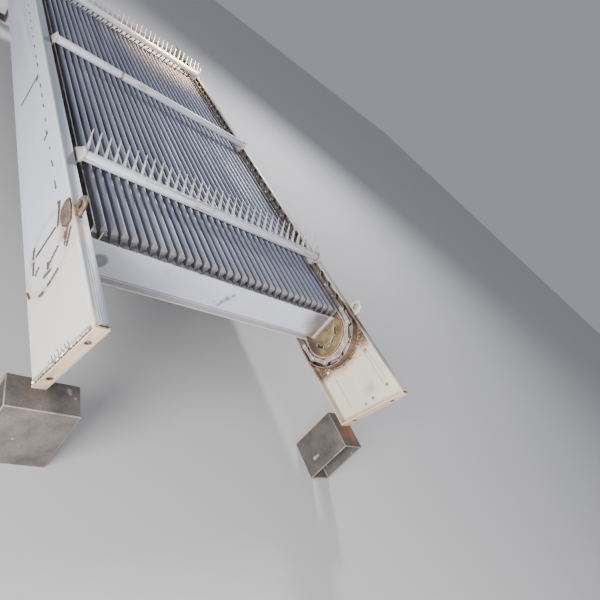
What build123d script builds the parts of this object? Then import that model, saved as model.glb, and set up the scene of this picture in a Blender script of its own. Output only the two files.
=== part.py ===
from build123d import *
from math import asin, ceil, cos, floor, pi, radians, sin, tan
import os

# Raking bar screen, lying on its back on four box stools.
# X runs across the screen, Y from the foot to the head, Z up. The sizes are in millimetres.
# Along Y, places are measured from the lower end of the frame's top edge, and along Z from its bottom.

# Side frames
overall_width = 2000
frame_depth = 492
frame_length = 5960
frame_plate = 8
flange_width = 60
frame_bend = 14
foot_angle = 15
foot_plate = 12
foot_hole = 22
foot_hole_from_top = 110
foot_hole_from_bottom = 96

# Stools under the frame
stool_height = 344
stool_width = 164
stool_wall = 10
long_stool = 300
short_stool = 256
long_stool_turn = 5
long_stool_reach = 100
short_stool_inset = 128
long_stool_start = 20
short_stool_start = -26

# Chain
chain_pitch = 125
chain_from_face = 55
lower_turn_place = 722
head_room = 600
roller_diameter = 56
roller_width = 30
roller_sides = 12
link_height = 40
link_waist = 0.8
link_chamfer = 10
link_plate = 5
run_end_gap = 4

# Chain guides
guide_thickness = 12
guide_reach = 64
guide_gap = 0.3
outer_guide_clearance = 1.5
outer_guide_thickness = 6
outer_guide_gap = 0.2
outer_guide_cutback = 64
disc_thickness = 12
disc_slot_width = 26
disc_slot_length = 62
disc_slot_radius = 96
disc_slot_angles = (120, 160, 200, 240)
sprocket_clearance = 12

# Bar rack
bar_count = 31
bar_width = 34
bar_height = 70
bar_tip = 4
bar_shoulder = 20
bar_nose_flat = 11
bar_cheek_width = 28
bar_cheek_drop = 8
rack_margin = 178
rack_drop = 46
rack_start = 746
rack_end_from_head = 500
side_bar = 8
side_bar_gap = 35

# Beams under the rack
beam_height = 206
beam_plate = 8
beam_foot = 48
beam_head = 60
beam_overhang = 8
beam_foot_cutback = 90
end_flat_width = 28
end_flat_height = 217
cross_flat_count = 3
cross_flat_thickness = 16
cross_flat_height = 120
first_cross_flat = 2176
cross_flat_from_end = 60
cross_flat_end_drop = 14
cross_flat_shoulder = 86

# Rakes
rakes_a_side = 3
first_rake_link = 4
tube_diameter = 62
tube_sides = 12
tube_rise = 28
tube_lag = 88
tooth_thickness = 8
spike_length = 153
spike_angle = 50
spike_root = 30
finger_length = 150
finger_angle = -44
finger_root = 30
finger_end = 16
bracket_thickness = 12
bracket_near = 20
bracket_shoulder = 105
bracket_far = 157
bracket_drop = 22

# Head shaft
shaft_diameter = 80
shaft_overhang = 62
shaft_gap = 0.2
web_hole_gap = 12
sprocket_thickness = 24
sprocket_tip_drop = 5
roller_gap = 0.5
hub_diameter = 130
hub_length = 60
bearing_plate_size = 190
bearing_plate_thickness = 18
bearing_diameter = 135
bearing_length = 55

# Head end plates
apron_thickness = 6
apron_past_head = 150
apron_gap = 5
apron_lip = 60
apron_drop = 40
head_beam_from_end = 120
head_beam_height = 300
head_beam_flange = 60
head_beam_plate = 8

# Lifting eyes
eye_width = 92
eye_thickness = 18
eye_hole = 36
eye_hole_rise = 38
eye_from_face = 20
lower_eye_place = 728
upper_eye_from_end = 1040

# Derived places
half_width = overall_width / 2
web_face = half_width - frame_plate
chain_line = half_width - chain_from_face
mid_depth = frame_depth / 2
roller_radius = roller_diameter / 2

# The turn is the largest whole number of links that fits between the flanges, and the straight runs
# have an even number, so that inner and outer links follow each other round both turns
guide_stack = roller_radius + outer_guide_clearance + outer_guide_thickness + outer_guide_gap
turn_room = mid_depth - frame_plate - guide_stack
turn_links = floor(pi / 2 / asin(chain_pitch / 2 / turn_room))
link_angle = 180 / turn_links
turn_radius = chain_pitch / 2 / sin(radians(link_angle / 2))
end_rise = turn_radius * (1 - cos(radians(link_angle / 2)))
end_step = (chain_pitch ** 2 - end_rise ** 2) ** 0.5 - chain_pitch / 2
straight_room = frame_length - lower_turn_place - head_room - 2 * end_step
straight_links = 2 * floor(straight_room / (2 * chain_pitch))
head_place = lower_turn_place + 2 * end_step + straight_links * chain_pitch
return_start = straight_links + turn_links + 1
loop_links = 2 * return_start
rake_links = 2 * ((straight_links - first_rake_link - 2) // (2 * (rakes_a_side - 1)))
first_return_link = 2 * ceil((return_start + first_rake_link) / 2)
rakes_on_front = [first_rake_link + step * rake_links for step in range(rakes_a_side)]
rakes_on_return = [first_return_link + step * rake_links for step in range(rakes_a_side)]

link_dip = turn_radius * cos(radians(link_angle / 2)) - link_height / 2 * link_waist
guide_radius = min(turn_radius - roller_radius, link_dip) - guide_gap
outer_guide_radius = turn_radius + roller_radius + outer_guide_clearance
guide_face = web_face - guide_reach
disc_face = guide_face - disc_thickness
disc_radius = guide_radius - guide_thickness
outer_link_width = roller_width + 4 * link_plate
inner_link_width = roller_width + 2 * link_plate
bracket_face = chain_line - outer_link_width / 2
bracket_inside = bracket_face - bracket_thickness
tube_axis = frame_depth + tube_rise - mid_depth

bar_line = half_width - rack_margin
bar_pitch = 2 * bar_line / (bar_count - 1)
side_bar_face = bar_line + bar_width / 2 + side_bar_gap + side_bar / 2
rack_top = frame_depth - rack_drop
rack_seat = rack_top - bar_height
rack_end = head_place - rack_end_from_head
apron_end = head_place + apron_past_head
beam_front = rack_start - beam_overhang
last_cross_flat = rack_end - cross_flat_from_end
cross_flat_step = (last_cross_flat - first_cross_flat) / (cross_flat_count - 1)
foot_slope = radians(foot_angle)
foot_setback = frame_depth * tan(foot_slope)
foot_depth = foot_plate / cos(foot_slope)
eye_line = half_width - eye_from_face
eye_places = (lower_eye_place, frame_length - upper_eye_from_end)
head_beam_place = frame_length - head_beam_from_end


def box(x_range, y_range, z_range):
    """A block between two corners, given as a range along each axis."""
    size = [high - low for low, high in (x_range, y_range, z_range)]
    middle = [(high + low) / 2 for low, high in (x_range, y_range, z_range)]
    return Pos(*middle) * Box(*size)


def prism_along_x(points, x_range):
    """A straight-sided piece: an outline of (y, z) points between two places across the screen."""
    outline = Plane.YZ * make_face(Polyline(*points, close=True))
    return Pos(x_range[0], 0, 0) * extrude(outline, amount=x_range[1] - x_range[0], dir=(1, 0, 0))


def prism_along_y(points, y_range):
    """A straight-sided piece: an outline of (x, z) points between two places along the screen."""
    outline = Plane.XZ * make_face(Polyline(*points, close=True))
    return Pos(0, y_range[0], 0) * extrude(outline, amount=y_range[1] - y_range[0], dir=(0, 1, 0))


def cylinder_along_x(radius, x_range, y, z):
    """A round bar across the screen."""
    length = x_range[1] - x_range[0]
    return Pos((x_range[0] + x_range[1]) / 2, y, z) * Rot(0, 90, 0) * Cylinder(radius, length)


def on_left(shape):
    """The same piece on the other side of the screen."""
    return mirror(shape, about=Plane.YZ)


def both_sides(shape):
    """The piece and its match on the other side, as two solids of one node."""
    return Compound([shape, on_left(shape)])


# Side frames: plate bent to a channel, web outboard, its foot cut to the installed slope
def rounded_block(x_range, z_range, radius):
    """A full-length block with its two web-side edges rounded."""
    block = box(x_range, (0, frame_length), z_range)
    web_edges = block.edges().filter_by(Axis.Y).group_by(Axis.X)[-1]
    return fillet(web_edges, radius)


def side_frame():
    flange_edge = half_width - flange_width
    outside = rounded_block((flange_edge, half_width), (0, frame_depth), frame_bend)
    inside = rounded_block((flange_edge - frame_plate, web_face),
                           (frame_plate, frame_depth - frame_plate), frame_bend - frame_plate)
    channel = outside - inside
    beyond = frame_depth
    slope = [(foot_depth, frame_depth), (foot_depth + foot_setback, 0),
             (foot_depth + foot_setback, -beyond), (-beyond, -beyond), (-beyond, frame_depth + beyond),
             (foot_depth - foot_setback, 2 * frame_depth)]
    channel -= prism_along_x(slope, (0, 2 * half_width))
    across_web = (web_face - frame_plate, half_width + frame_plate)
    channel -= cylinder_along_x(shaft_diameter / 2 + web_hole_gap, across_web, head_place, mid_depth)
    return channel


def foot_plate_piece():
    outline = [(0, frame_depth), (foot_depth, frame_depth), (foot_depth + foot_setback, 0), (foot_setback, 0)]
    plate = prism_along_x(outline, (half_width - flange_width, half_width))
    hole_line = half_width - flange_width / 2
    slope_length = frame_depth / cos(foot_slope)
    for along in (foot_hole_from_top, slope_length - foot_hole_from_bottom):
        down = along * cos(foot_slope)
        back = along * sin(foot_slope)
        drill = Pos(hole_line, back, frame_depth - down) * Rot(90 + foot_angle, 0, 0)
        plate -= drill * Cylinder(foot_hole / 2, 4 * foot_plate)
    return plate


def lifting_eye(place):
    radius = eye_width / 2
    sides = Line((place - radius, frame_depth), (place - radius, frame_depth + eye_hole_rise))
    crown = ThreePointArc((place - radius, frame_depth + eye_hole_rise),
                          (place, frame_depth + eye_hole_rise + radius),
                          (place + radius, frame_depth + eye_hole_rise))
    other = Line((place + radius, frame_depth + eye_hole_rise), (place + radius, frame_depth))
    base = Line((place + radius, frame_depth), (place - radius, frame_depth))
    outline = Plane.YZ * make_face([sides, crown, other, base])
    plate = Pos(eye_line - eye_thickness / 2, 0, 0) * extrude(outline, amount=eye_thickness, dir=(1, 0, 0))
    hole_reach = (eye_line - eye_thickness, eye_line + eye_thickness)
    return plate - cylinder_along_x(eye_hole / 2, hole_reach, place, frame_depth + eye_hole_rise)


# Bar rack: streamlined bars, a blunt nose up and a narrow tip that sits on the beams
def rack_bar(index):
    x = (index - (bar_count - 1) / 2) * bar_pitch
    right = [(bar_tip / 2, rack_seat), (bar_width / 2, rack_top - bar_shoulder),
             (bar_cheek_width / 2, rack_top - bar_cheek_drop), (bar_nose_flat / 2, rack_top)]
    left = [(-u, z) for u, z in reversed(right)]
    return prism_along_y([(x + u, z) for u, z in right + left], (rack_start, rack_end))


def rack_bars(first, count):
    return Compound([rack_bar(first + step) for step in range(count)])


def rack_side_bar():
    across = (side_bar_face - side_bar / 2, side_bar_face + side_bar / 2)
    return box(across, (rack_start, apron_end), (rack_seat, rack_top))


# Beams that carry the rack
def bottom_beam():
    head = rack_seat
    foot = rack_seat - beam_height
    web = box((-disc_face, disc_face), (beam_front, beam_front + beam_plate), (foot, head))
    top = box((-side_bar_face - side_bar, side_bar_face + side_bar), (beam_front, beam_front + beam_head),
              (head - beam_plate, head))
    reach = side_bar_face - beam_foot_cutback
    along = (beam_front - beam_foot, beam_front + beam_plate)
    bottom = box((-reach, reach), along, (foot, foot + beam_plate))
    return web + top + bottom


def beam_end_flat():
    outer = side_bar_face + side_bar
    across = (outer - end_flat_width, outer)
    height = (rack_seat - beam_height, rack_seat - beam_height + end_flat_height)
    return box(across, (beam_front - beam_plate, beam_front), height)


def cross_flat(place):
    foot = rack_seat - cross_flat_height
    shoulder = web_face - cross_flat_shoulder
    low = rack_seat - cross_flat_end_drop
    right = [(shoulder, rack_seat), (shoulder, low), (web_face, low), (web_face, foot)]
    left = [(-x, z) for x, z in reversed(right)]
    return prism_along_y(right + left, (place, place + cross_flat_thickness))


# Chain guides: rails inside the loop for the rollers, and a hoop outside its lower turn
def straight_guide(height):
    across = (guide_face, web_face)
    reach = (lower_turn_place, head_place - turn_radius - sprocket_clearance)
    return box(across, reach, (height, height + guide_thickness))


def hoop(inner_radius, thickness, cutback):
    """A hoop round the foot side of the turn, its ends cut back from the turn's middle."""
    ring = Circle(inner_radius + thickness) - Circle(inner_radius)
    beyond = 4 * inner_radius
    ring -= Pos(beyond / 2 - cutback, 0) * Rectangle(beyond, beyond)
    piece = extrude(Plane.YZ * ring, amount=guide_reach, dir=(1, 0, 0))
    return Pos(guide_face, lower_turn_place, mid_depth) * piece


def guide_disc():
    plate = Circle(disc_radius)
    for turn in disc_slot_angles:
        slot = Rot(0, 0, turn) * Pos(disc_slot_radius, 0) * Rot(0, 0, 90)
        plate -= slot * SlotOverall(disc_slot_length, disc_slot_width)
    piece = extrude(Plane.YZ * plate, amount=disc_thickness, dir=(1, 0, 0))
    return Pos(disc_face, lower_turn_place, mid_depth) * piece


def disc_stay():
    """The upright flat that stands the disc off the web, welded to both."""
    half = guide_thickness / 2
    reach = (disc_radius ** 2 - half ** 2) ** 0.5
    return box((guide_face, web_face), (lower_turn_place - half, lower_turn_place + half),
               (mid_depth - reach, mid_depth + reach))


# Chain: an endless loop of links on each side, the same for both
def loop_point(link):
    """The pin at the start of a link, as (y, z), counted from the lower turn along the front."""
    link = link % loop_links
    if link <= straight_links:
        return (lower_turn_place + end_step + link * chain_pitch, mid_depth + turn_radius)
    if link < return_start:
        angle = radians(90 - (link - straight_links - 0.5) * link_angle)
        return (head_place + turn_radius * cos(angle), mid_depth + turn_radius * sin(angle))
    step = link - return_start
    if step <= straight_links:
        return (head_place - end_step - step * chain_pitch, mid_depth - turn_radius)
    angle = radians(270 - (step - straight_links - 0.5) * link_angle)
    return (lower_turn_place + turn_radius * cos(angle), mid_depth + turn_radius * sin(angle))


def link_plate_outline(start, end):
    """A waisted plate round two pins, as (y, z) points."""
    length = ((end[0] - start[0]) ** 2 + (end[1] - start[1]) ** 2) ** 0.5
    c, s = (end[0] - start[0]) / length, (end[1] - start[1]) / length
    half = link_height / 2
    flat = half - link_chamfer
    upper = [(-half, flat), (-flat, half), (length / 2, half * link_waist),
             (length + flat, half), (length + half, flat)]
    points = upper + [(u, -v) for u, v in reversed(upper)]
    return [(start[0] + u * c - v * s, start[1] + u * s + v * c) for u, v in points]


def link_plates(link):
    """The two plates of a link: even links go outside, odd ones inside."""
    outline = link_plate_outline(loop_point(link), loop_point(link + 1))
    inner = roller_width / 2
    if link % 2 == 0:
        inner += link_plate
    sides = (chain_line - inner - link_plate, chain_line + inner)
    return [prism_along_x(outline, (side, side + link_plate)) for side in sides]


def chain_roller(link):
    """The roller on the pin at the start of a link. It goes with the inner link that holds it."""
    y, z = loop_point(link)
    turns = [2 * pi * side / roller_sides for side in range(roller_sides)]
    outline = [(y + roller_radius * cos(turn), z + roller_radius * sin(turn)) for turn in turns]
    return prism_along_x(outline, (chain_line - roller_width / 2, chain_line + roller_width / 2))


def chain_run(first, rake_places):
    """A straight stretch, waisted between its rollers, with real plates at its ends and under the rakes."""
    waist = link_height / 2 * link_waist
    last = first + straight_links - 1
    y_first, z = loop_point(first)
    y_last, _ = loop_point(last + 1)
    way = 1 if y_last > y_first else -1
    setback = way * (roller_radius + run_end_gap)
    profile = [(y_first + setback, waist)]
    for step in range(1, straight_links):
        y = y_first + way * step * chain_pitch
        profile += [(y - way * chain_pitch / 2, waist), (y, roller_radius)]
    profile.append((y_last - setback, waist))
    outline = [(y, z + height) for y, height in profile]
    outline += [(y, z - height) for y, height in reversed(profile)]
    bar = prism_along_x(outline, (chain_line - inner_link_width / 2, chain_line + inner_link_width / 2))
    pieces = [chain_roller(pin) for link, pin in ((first, first), (last, last + 1)) if link % 2]
    for link in (first, last, *rake_places):
        pieces += link_plates(link)
    return bar.fuse(*pieces)


def chain_turn(first):
    """Real links round a turn: two plates a link, inner and outer by turns, and a roller on each pin."""
    links = range(first, first + turn_links + 1)
    pins = sorted({pin for link in links if link % 2 for pin in (link, link + 1)})
    pieces = [chain_roller(pin) for pin in pins]
    for link in links:
        pieces += link_plates(link)
    return pieces[0].fuse(*pieces[1:])


# Rakes: a tube from chain to chain, with or without teeth, on plates that stand on the links
def turned(points, angle):
    """Points drawn along a ray from the tube's axis, turned to their angle, as (y, z)."""
    c, s = cos(radians(angle)), sin(radians(angle))
    return [(u * c - v * s, tube_axis + u * s + v * c) for u, v in points]


def rake_bracket():
    """The plate from the tube to an outer link."""
    foot = turn_radius - link_height / 2
    head = turn_radius + link_height / 2
    outline = [(bracket_near, foot), (bracket_far, foot), (bracket_far, head), (bracket_shoulder, tube_axis),
               (0, tube_axis), (0, tube_axis - bracket_drop), (bracket_near, tube_axis - tube_diameter / 2)]
    return prism_along_x(outline, (bracket_inside, bracket_face))


def tooth(x):
    """A claw of two arms on the tube: the spike holds the trash and the finger combs between two bars."""
    across = (x - tooth_thickness / 2, x + tooth_thickness / 2)
    spike = [(0, -spike_root / 2), (spike_length, 0), (0, spike_root / 2)]
    finger = [(0, -finger_root / 2), (finger_length, -finger_end / 2),
              (finger_length, finger_end / 2), (0, finger_root / 2)]
    return [prism_along_x(turned(spike, spike_angle), across),
            prism_along_x(turned(finger, finger_angle), across)]


def rake(toothed):
    """A rake on the front run, about the loop's middle line, with its tube's axis at Y = 0."""
    turns = [2 * pi * side / tube_sides for side in range(tube_sides)]
    ring = [(tube_diameter / 2 * cos(turn), tube_axis + tube_diameter / 2 * sin(turn)) for turn in turns]
    pieces = [rake_bracket(), on_left(rake_bracket())]
    if toothed:
        for step in range(bar_count + 1):
            pieces += tooth((step - bar_count / 2) * bar_pitch)
    return prism_along_x(ring, (-bracket_face, bracket_face)).fuse(*pieces)


def place_rake(shape, link):
    """A rake stands on a link, its tube behind the link's middle."""
    start = loop_point(link)
    middle = (start[0] + loop_point(link + 1)[0]) / 2
    if start[1] > mid_depth:
        return Pos(0, middle - tube_lag, mid_depth) * shape
    return Pos(0, middle + tube_lag, mid_depth) * Rot(180, 0, 0) * shape


# Head shaft with its sprockets and bearings
def sprocket():
    blank = Circle(turn_radius - sprocket_tip_drop)
    for seat in range(2 * turn_links):
        place = Rot(0, 0, 90 - (seat + 0.5) * link_angle) * Pos(turn_radius, 0)
        blank -= place * Circle(roller_radius + roller_gap)
    outer_side = chain_line + sprocket_thickness / 2
    wheel = extrude(Plane.YZ * blank, amount=sprocket_thickness, dir=(1, 0, 0))
    wheel = Pos(chain_line - sprocket_thickness / 2, 0, 0) * wheel
    hub = cylinder_along_x(hub_diameter / 2, (outer_side - hub_length, outer_side), 0, 0)
    bore = cylinder_along_x(shaft_diameter / 2 + shaft_gap, (0, half_width), 0, 0)
    return Pos(0, head_place, mid_depth) * (wheel + hub - bore)


def head_shaft():
    reach = half_width + shaft_overhang
    return cylinder_along_x(shaft_diameter / 2, (-reach, reach), head_place, mid_depth)


def shaft_bearing():
    half = bearing_plate_size / 2
    plate = box((half_width, half_width + bearing_plate_thickness), (head_place - half, head_place + half),
                (mid_depth - half, mid_depth + half))
    plate = chamfer(plate.edges().filter_by(Axis.X), half / 4)
    reach = (half_width, half_width + bearing_length)
    barrel = cylinder_along_x(bearing_diameter / 2, reach, head_place, mid_depth)
    bore = cylinder_along_x(shaft_diameter / 2 + shaft_gap, (web_face, half_width + 2 * bearing_length),
                            head_place, mid_depth)
    return plate + barrel - bore


# Head end: the plate that the trash slides over, and the beam that ties the frames
def discharge_apron():
    half = side_bar_face - side_bar / 2
    start = rack_end + apron_gap
    top = rack_top - apron_drop
    foot = top - apron_thickness
    tip = apron_end + apron_lip
    lip = foot - apron_lip
    outline = [(start, foot), (apron_end, foot), (tip, lip), (tip + apron_thickness, lip),
               (apron_end + apron_thickness / 2, top), (start, top)]
    return prism_along_x(outline, (-half, half))


def head_beam():
    foot = mid_depth - head_beam_height / 2
    head = mid_depth + head_beam_height / 2
    front = head_beam_place
    back = head_beam_place + head_beam_flange
    plate = head_beam_plate
    section = [(front, foot), (back, foot), (back, foot + plate), (front + plate, foot + plate),
               (front + plate, head - plate), (back, head - plate), (back, head), (front, head)]
    return prism_along_x(section, (-web_face, web_face))


# Stools: short lengths of box section, standing on the floor
def box_section(length):
    """A length of rectangular hollow section along X, standing on edge with its top at the frames' bottom."""
    half = length / 2
    outside = box((-half, half), (-stool_width / 2, stool_width / 2), (-stool_height, 0))
    inside = box((-length, length), (stool_wall - stool_width / 2, stool_width / 2 - stool_wall),
                 (stool_wall - stool_height, -stool_wall))
    return outside - inside


def stool_across():
    """The stool that lies across the left frame, a little askew."""
    x = -(half_width + long_stool_reach - long_stool / 2)
    place = Pos(x, long_stool_start + stool_width / 2, 0)
    return place * Rot(0, 0, -long_stool_turn) * box_section(long_stool)


def stool_along():
    """The stool that lies along the right frame, open towards the foot."""
    x = half_width - short_stool_inset + stool_width / 2
    return Pos(x, short_stool_start + short_stool / 2, 0) * Rot(0, 0, 90) * box_section(short_stool)


def at_far_end(shape):
    """The same stool under the other frame at the head end."""
    return Pos(0, frame_length, 0) * Rot(0, 0, 180) * shape


third = bar_count // 3

nodes = {}
right_frame = side_frame()
nodes["right_side_frame"] = right_frame
nodes["left_side_frame"] = on_left(right_frame)
nodes["foot_plates"] = both_sides(foot_plate_piece())
eyes = [lifting_eye(place) for place in eye_places]
nodes["lifting_eyes"] = Compound(eyes + [on_left(eye) for eye in eyes])
nodes["left_rack_bars"] = rack_bars(0, third)
nodes["middle_rack_bars"] = rack_bars(third, bar_count - 2 * third)
nodes["right_rack_bars"] = rack_bars(bar_count - third, third)
nodes["rack_side_bars"] = both_sides(rack_side_bar())
nodes["bottom_beam"] = bottom_beam()
nodes["beam_end_flats"] = both_sides(beam_end_flat())
flat_places = [first_cross_flat + step * cross_flat_step for step in range(cross_flat_count)]
nodes["rack_cross_flats"] = Compound([cross_flat(place) for place in flat_places])
nodes["front_chain_rails"] = both_sides(straight_guide(mid_depth + guide_radius - guide_thickness))
nodes["return_chain_rails"] = both_sides(straight_guide(mid_depth - guide_radius))
nodes["inner_chain_hoops"] = both_sides(hoop(disc_radius, guide_thickness, 0))
outer_hoop = hoop(outer_guide_radius, outer_guide_thickness, outer_guide_cutback)
nodes["outer_chain_hoops"] = both_sides(outer_hoop)
nodes["guide_discs"] = both_sides(guide_disc())
nodes["disc_stays"] = both_sides(disc_stay())
runs = {
    "chain_front_run": chain_run(0, rakes_on_front),
    "chain_return_run": chain_run(return_start, rakes_on_return),
    "chain_lower_turn": chain_turn(return_start + straight_links),
    "chain_upper_turn": chain_turn(straight_links),
}
for name, shape in runs.items():
    nodes["right_" + name] = shape
    nodes["left_" + name] = on_left(shape)
toothed_rake = rake(True)
plain_rake = rake(False)
rake_names = ("lower_toothed_rake", "middle_plain_rake", "upper_toothed_rake", "return_upper_plain_rake",
              "return_middle_toothed_rake", "return_lower_plain_rake")
for name, link in zip(rake_names, rakes_on_front + rakes_on_return):
    nodes[name] = place_rake(plain_rake if "plain" in name else toothed_rake, link)
nodes["head_shaft"] = head_shaft()
right_sprocket = sprocket()
nodes["right_head_sprocket"] = right_sprocket
nodes["left_head_sprocket"] = on_left(right_sprocket)
nodes["shaft_bearings"] = both_sides(shaft_bearing())
nodes["discharge_apron"] = discharge_apron()
nodes["head_beam"] = head_beam()
nodes["near_left_stool"] = stool_across()
nodes["near_right_stool"] = stool_along()
nodes["far_left_stool"] = at_far_end(stool_along())
nodes["far_right_stool"] = at_far_end(stool_across())

# The model stands with its origin on the floor, under the middle of the frames
os.makedirs("parts", exist_ok=True)
stand = Pos(0, -frame_length / 2, stool_height)
for name, shape in nodes.items():
    placed = Compound([stand * solid for solid in shape.solids()])
    export_step(placed, "parts/" + name + ".step")
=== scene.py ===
"""Raking bar screen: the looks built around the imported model, in metres."""

import logging
import math
import random
from collections.abc import Callable, Iterable, Sequence
from dataclasses import dataclass, replace
from enum import Enum

import bmesh
import bpy
from bmesh.types import BMEdge, BMesh, BMVert
from bpy.types import Material, Mesh, Node, NodeSocket, NodeTree, Object
from mathutils import Matrix, Vector


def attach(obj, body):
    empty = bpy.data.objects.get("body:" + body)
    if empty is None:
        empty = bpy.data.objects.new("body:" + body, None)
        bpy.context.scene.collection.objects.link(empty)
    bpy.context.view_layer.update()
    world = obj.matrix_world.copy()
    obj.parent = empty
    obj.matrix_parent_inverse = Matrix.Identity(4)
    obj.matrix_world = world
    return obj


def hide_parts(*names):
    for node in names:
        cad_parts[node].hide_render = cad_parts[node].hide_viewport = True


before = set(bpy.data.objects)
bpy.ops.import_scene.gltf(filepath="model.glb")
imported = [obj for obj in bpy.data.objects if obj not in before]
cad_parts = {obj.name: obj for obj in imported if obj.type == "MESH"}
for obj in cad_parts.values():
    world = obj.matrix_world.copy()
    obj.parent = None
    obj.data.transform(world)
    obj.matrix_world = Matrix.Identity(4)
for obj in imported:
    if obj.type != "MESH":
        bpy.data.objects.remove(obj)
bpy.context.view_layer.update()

LOG = logging.getLogger("bar_screen")
ROOT = "root"
EDGE = "edge"
ROUND = 80.0
Pair = tuple[float, float]
Point = tuple[float, float, float]
Value = float | NodeSocket
Triple = Point | Vector | NodeSocket


@dataclass(frozen=True)
class Layout:
    """Places that the parts share, from the frames' lower end and bottom."""

    half_width: float = 1.0
    frame_length: float = 5.96
    frame_depth: float = 0.492
    plate: float = 0.008
    stand: float = 0.344
    foot_slope: float = math.radians(15)
    chain_line: float = 0.945
    lower_turn: float = 0.722
    head: float = 5.346214
    turn_radius: float = 0.202254
    turn_links: int = 5
    straight_links: int = 36
    pitch: float = 0.125
    rack_start: float = 0.746
    rack_end: float = 4.846214
    rack_top: float = 0.446
    rack_seat: float = 0.376
    bar_count: int = 31
    bar_pitch: float = 0.0548

    @property
    def origin(self) -> Vector:
        """The layout's own zero, in the shared frame."""
        return Vector((0, -self.frame_length / 2, self.stand))

    @property
    def mid(self) -> float:
        """The height of the chain loop's middle."""
        return self.frame_depth / 2

    @property
    def web(self) -> float:
        """The inner face of a frame's web."""
        return self.half_width - self.plate

    @property
    def half_loop(self) -> int:
        """The links of one straight run and one turn."""
        return self.straight_links + self.turn_links + 1

    def foot_line(self, height: float) -> float:
        """The sloped foot at a height."""
        return (self.frame_depth - height) * math.tan(self.foot_slope)

    def across(self, index: float) -> float:
        """A bar's place, counted from the left."""
        return (index - (self.bar_count - 1) / 2) * self.bar_pitch


SITE = Layout()


def tone(shown: int) -> Point:
    """A linear colour, from its code on a screen, 0xRRGGBB."""
    channels = [(shown >> place & 255) / 255 for place in (16, 8, 0)]
    return tuple(c / 12.92 if c <= 0.04045 else ((c + 0.055) / 1.055) ** 2.4 for c in channels)


# Materials


class Wiring:
    """A node tree with short ways to add and join nodes."""

    def __init__(self, tree: NodeTree) -> None:
        """Keeps the tree that the nodes go into."""
        self.tree = tree

    def add(self, kind: str, inputs: dict, **settings: object) -> Node:
        """Adds a node.

        Args:
            kind: Its type, less the words that all types start with.
            inputs: Values or sockets, by the name or number of the input that takes them.
            settings: The node's own properties.

        Returns:
            The new node.
        """
        node = self.tree.nodes.new("ShaderNode" + kind)
        for name, value in settings.items():
            setattr(node, name, value)
        for key, value in inputs.items():
            if isinstance(value, NodeSocket):
                self.tree.links.new(value, node.inputs[key])
            else:
                colour = node.inputs[key].type == "RGBA"
                node.inputs[key].default_value = (*value, 1) if colour else value
        return node

    def math(self, operation: str, first: Value, second: Value = 0.0, clamp: bool = False) -> NodeSocket:
        """A sum on two values or sockets."""
        return self.add("Math", {0: first, 1: second}, operation=operation, use_clamp=clamp).outputs[0]

    def vector(self, operation: str, first: Triple, second: Triple = (0, 0, 0),
               output: int | str = 0) -> NodeSocket:
        """An output of a sum on two vectors or sockets."""
        return self.add("VectorMath", {0: first, 1: second}, operation=operation).outputs[output]

    def blend(self, share: Value, under: Triple, over: Triple, mode: str = "MIX") -> NodeSocket:
        """One colour laid over another by a mask."""
        inputs = {0: share, 6: under, 7: over}
        return self.add("Mix", inputs, data_type="RGBA", blend_type=mode).outputs[2]

    def spread(self, value: Value, low: Value, high: Value, to_low: float = 0.0, to_high: float = 1.0,
               curve: str = "SMOOTHSTEP") -> NodeSocket:
        """A value stretched from one range to another, clamped."""
        inputs = dict(enumerate((value, low, high, to_low, to_high)))
        return self.add("MapRange", inputs, interpolation_type=curve).outputs[0]

    def noise(self, place: Triple, scale: Value, detail: float, roughness: float) -> NodeSocket:
        """Fractal noise at a place."""
        inputs = {"Vector": place, "Scale": scale, "Detail": detail, "Roughness": roughness}
        return self.add("TexNoise", inputs).outputs[0]


Given = dict[str, NodeSocket]


@dataclass(frozen=True)
class Effect:
    """A mask that finishes share: a node group, made once."""

    name: str
    inputs: tuple[str, ...]
    draw: Callable[[Wiring, Given], NodeSocket]
    vectors: tuple[str, ...] = ("Vector", "Stretch", "Centre", "Weights")

    def tree(self) -> NodeTree:
        """The node group.

        Returns:
            The group's tree.
        """
        if self.name in bpy.data.node_groups:
            return bpy.data.node_groups[self.name]
        tree = bpy.data.node_groups.new(self.name, "ShaderNodeTree")
        for key in self.inputs:
            kind = "NodeSocketVector" if key in self.vectors else "NodeSocketFloat"
            tree.interface.new_socket(name=key, in_out="INPUT", socket_type=kind)
        tree.interface.new_socket(name="Mask", in_out="OUTPUT", socket_type="NodeSocketFloat")
        entry, leave = tree.nodes.new("NodeGroupInput"), tree.nodes.new("NodeGroupOutput")
        mask = self.draw(Wiring(tree), {key: entry.outputs[key] for key in self.inputs})
        tree.links.new(mask, leave.inputs[0])
        return tree

    def mask(self, w: Wiring, *values: Value | Triple) -> NodeSocket:
        """The effect in a tree, with a value or socket for each input in turn."""
        return w.add("Group", dict(zip(self.inputs, values)), node_tree=self.tree()).outputs[0]


def draw_patches(w: Wiring, given: Given) -> NodeSocket:
    """Cloudy patches, as wide as their size and as sharp as their contrast.

    Args:
        w: The group's tree.
        given: The sockets of its inputs, by name.

    Returns:
        The mask.
    """
    noise = w.noise(w.vector("MULTIPLY", given["Vector"], given["Stretch"]), given["Size"], 7.0, 0.62)
    half = w.math("DIVIDE", 0.5, given["Contrast"])
    return w.spread(noise, w.math("SUBTRACT", 0.5, half), w.math("ADD", 0.5, half))


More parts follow.
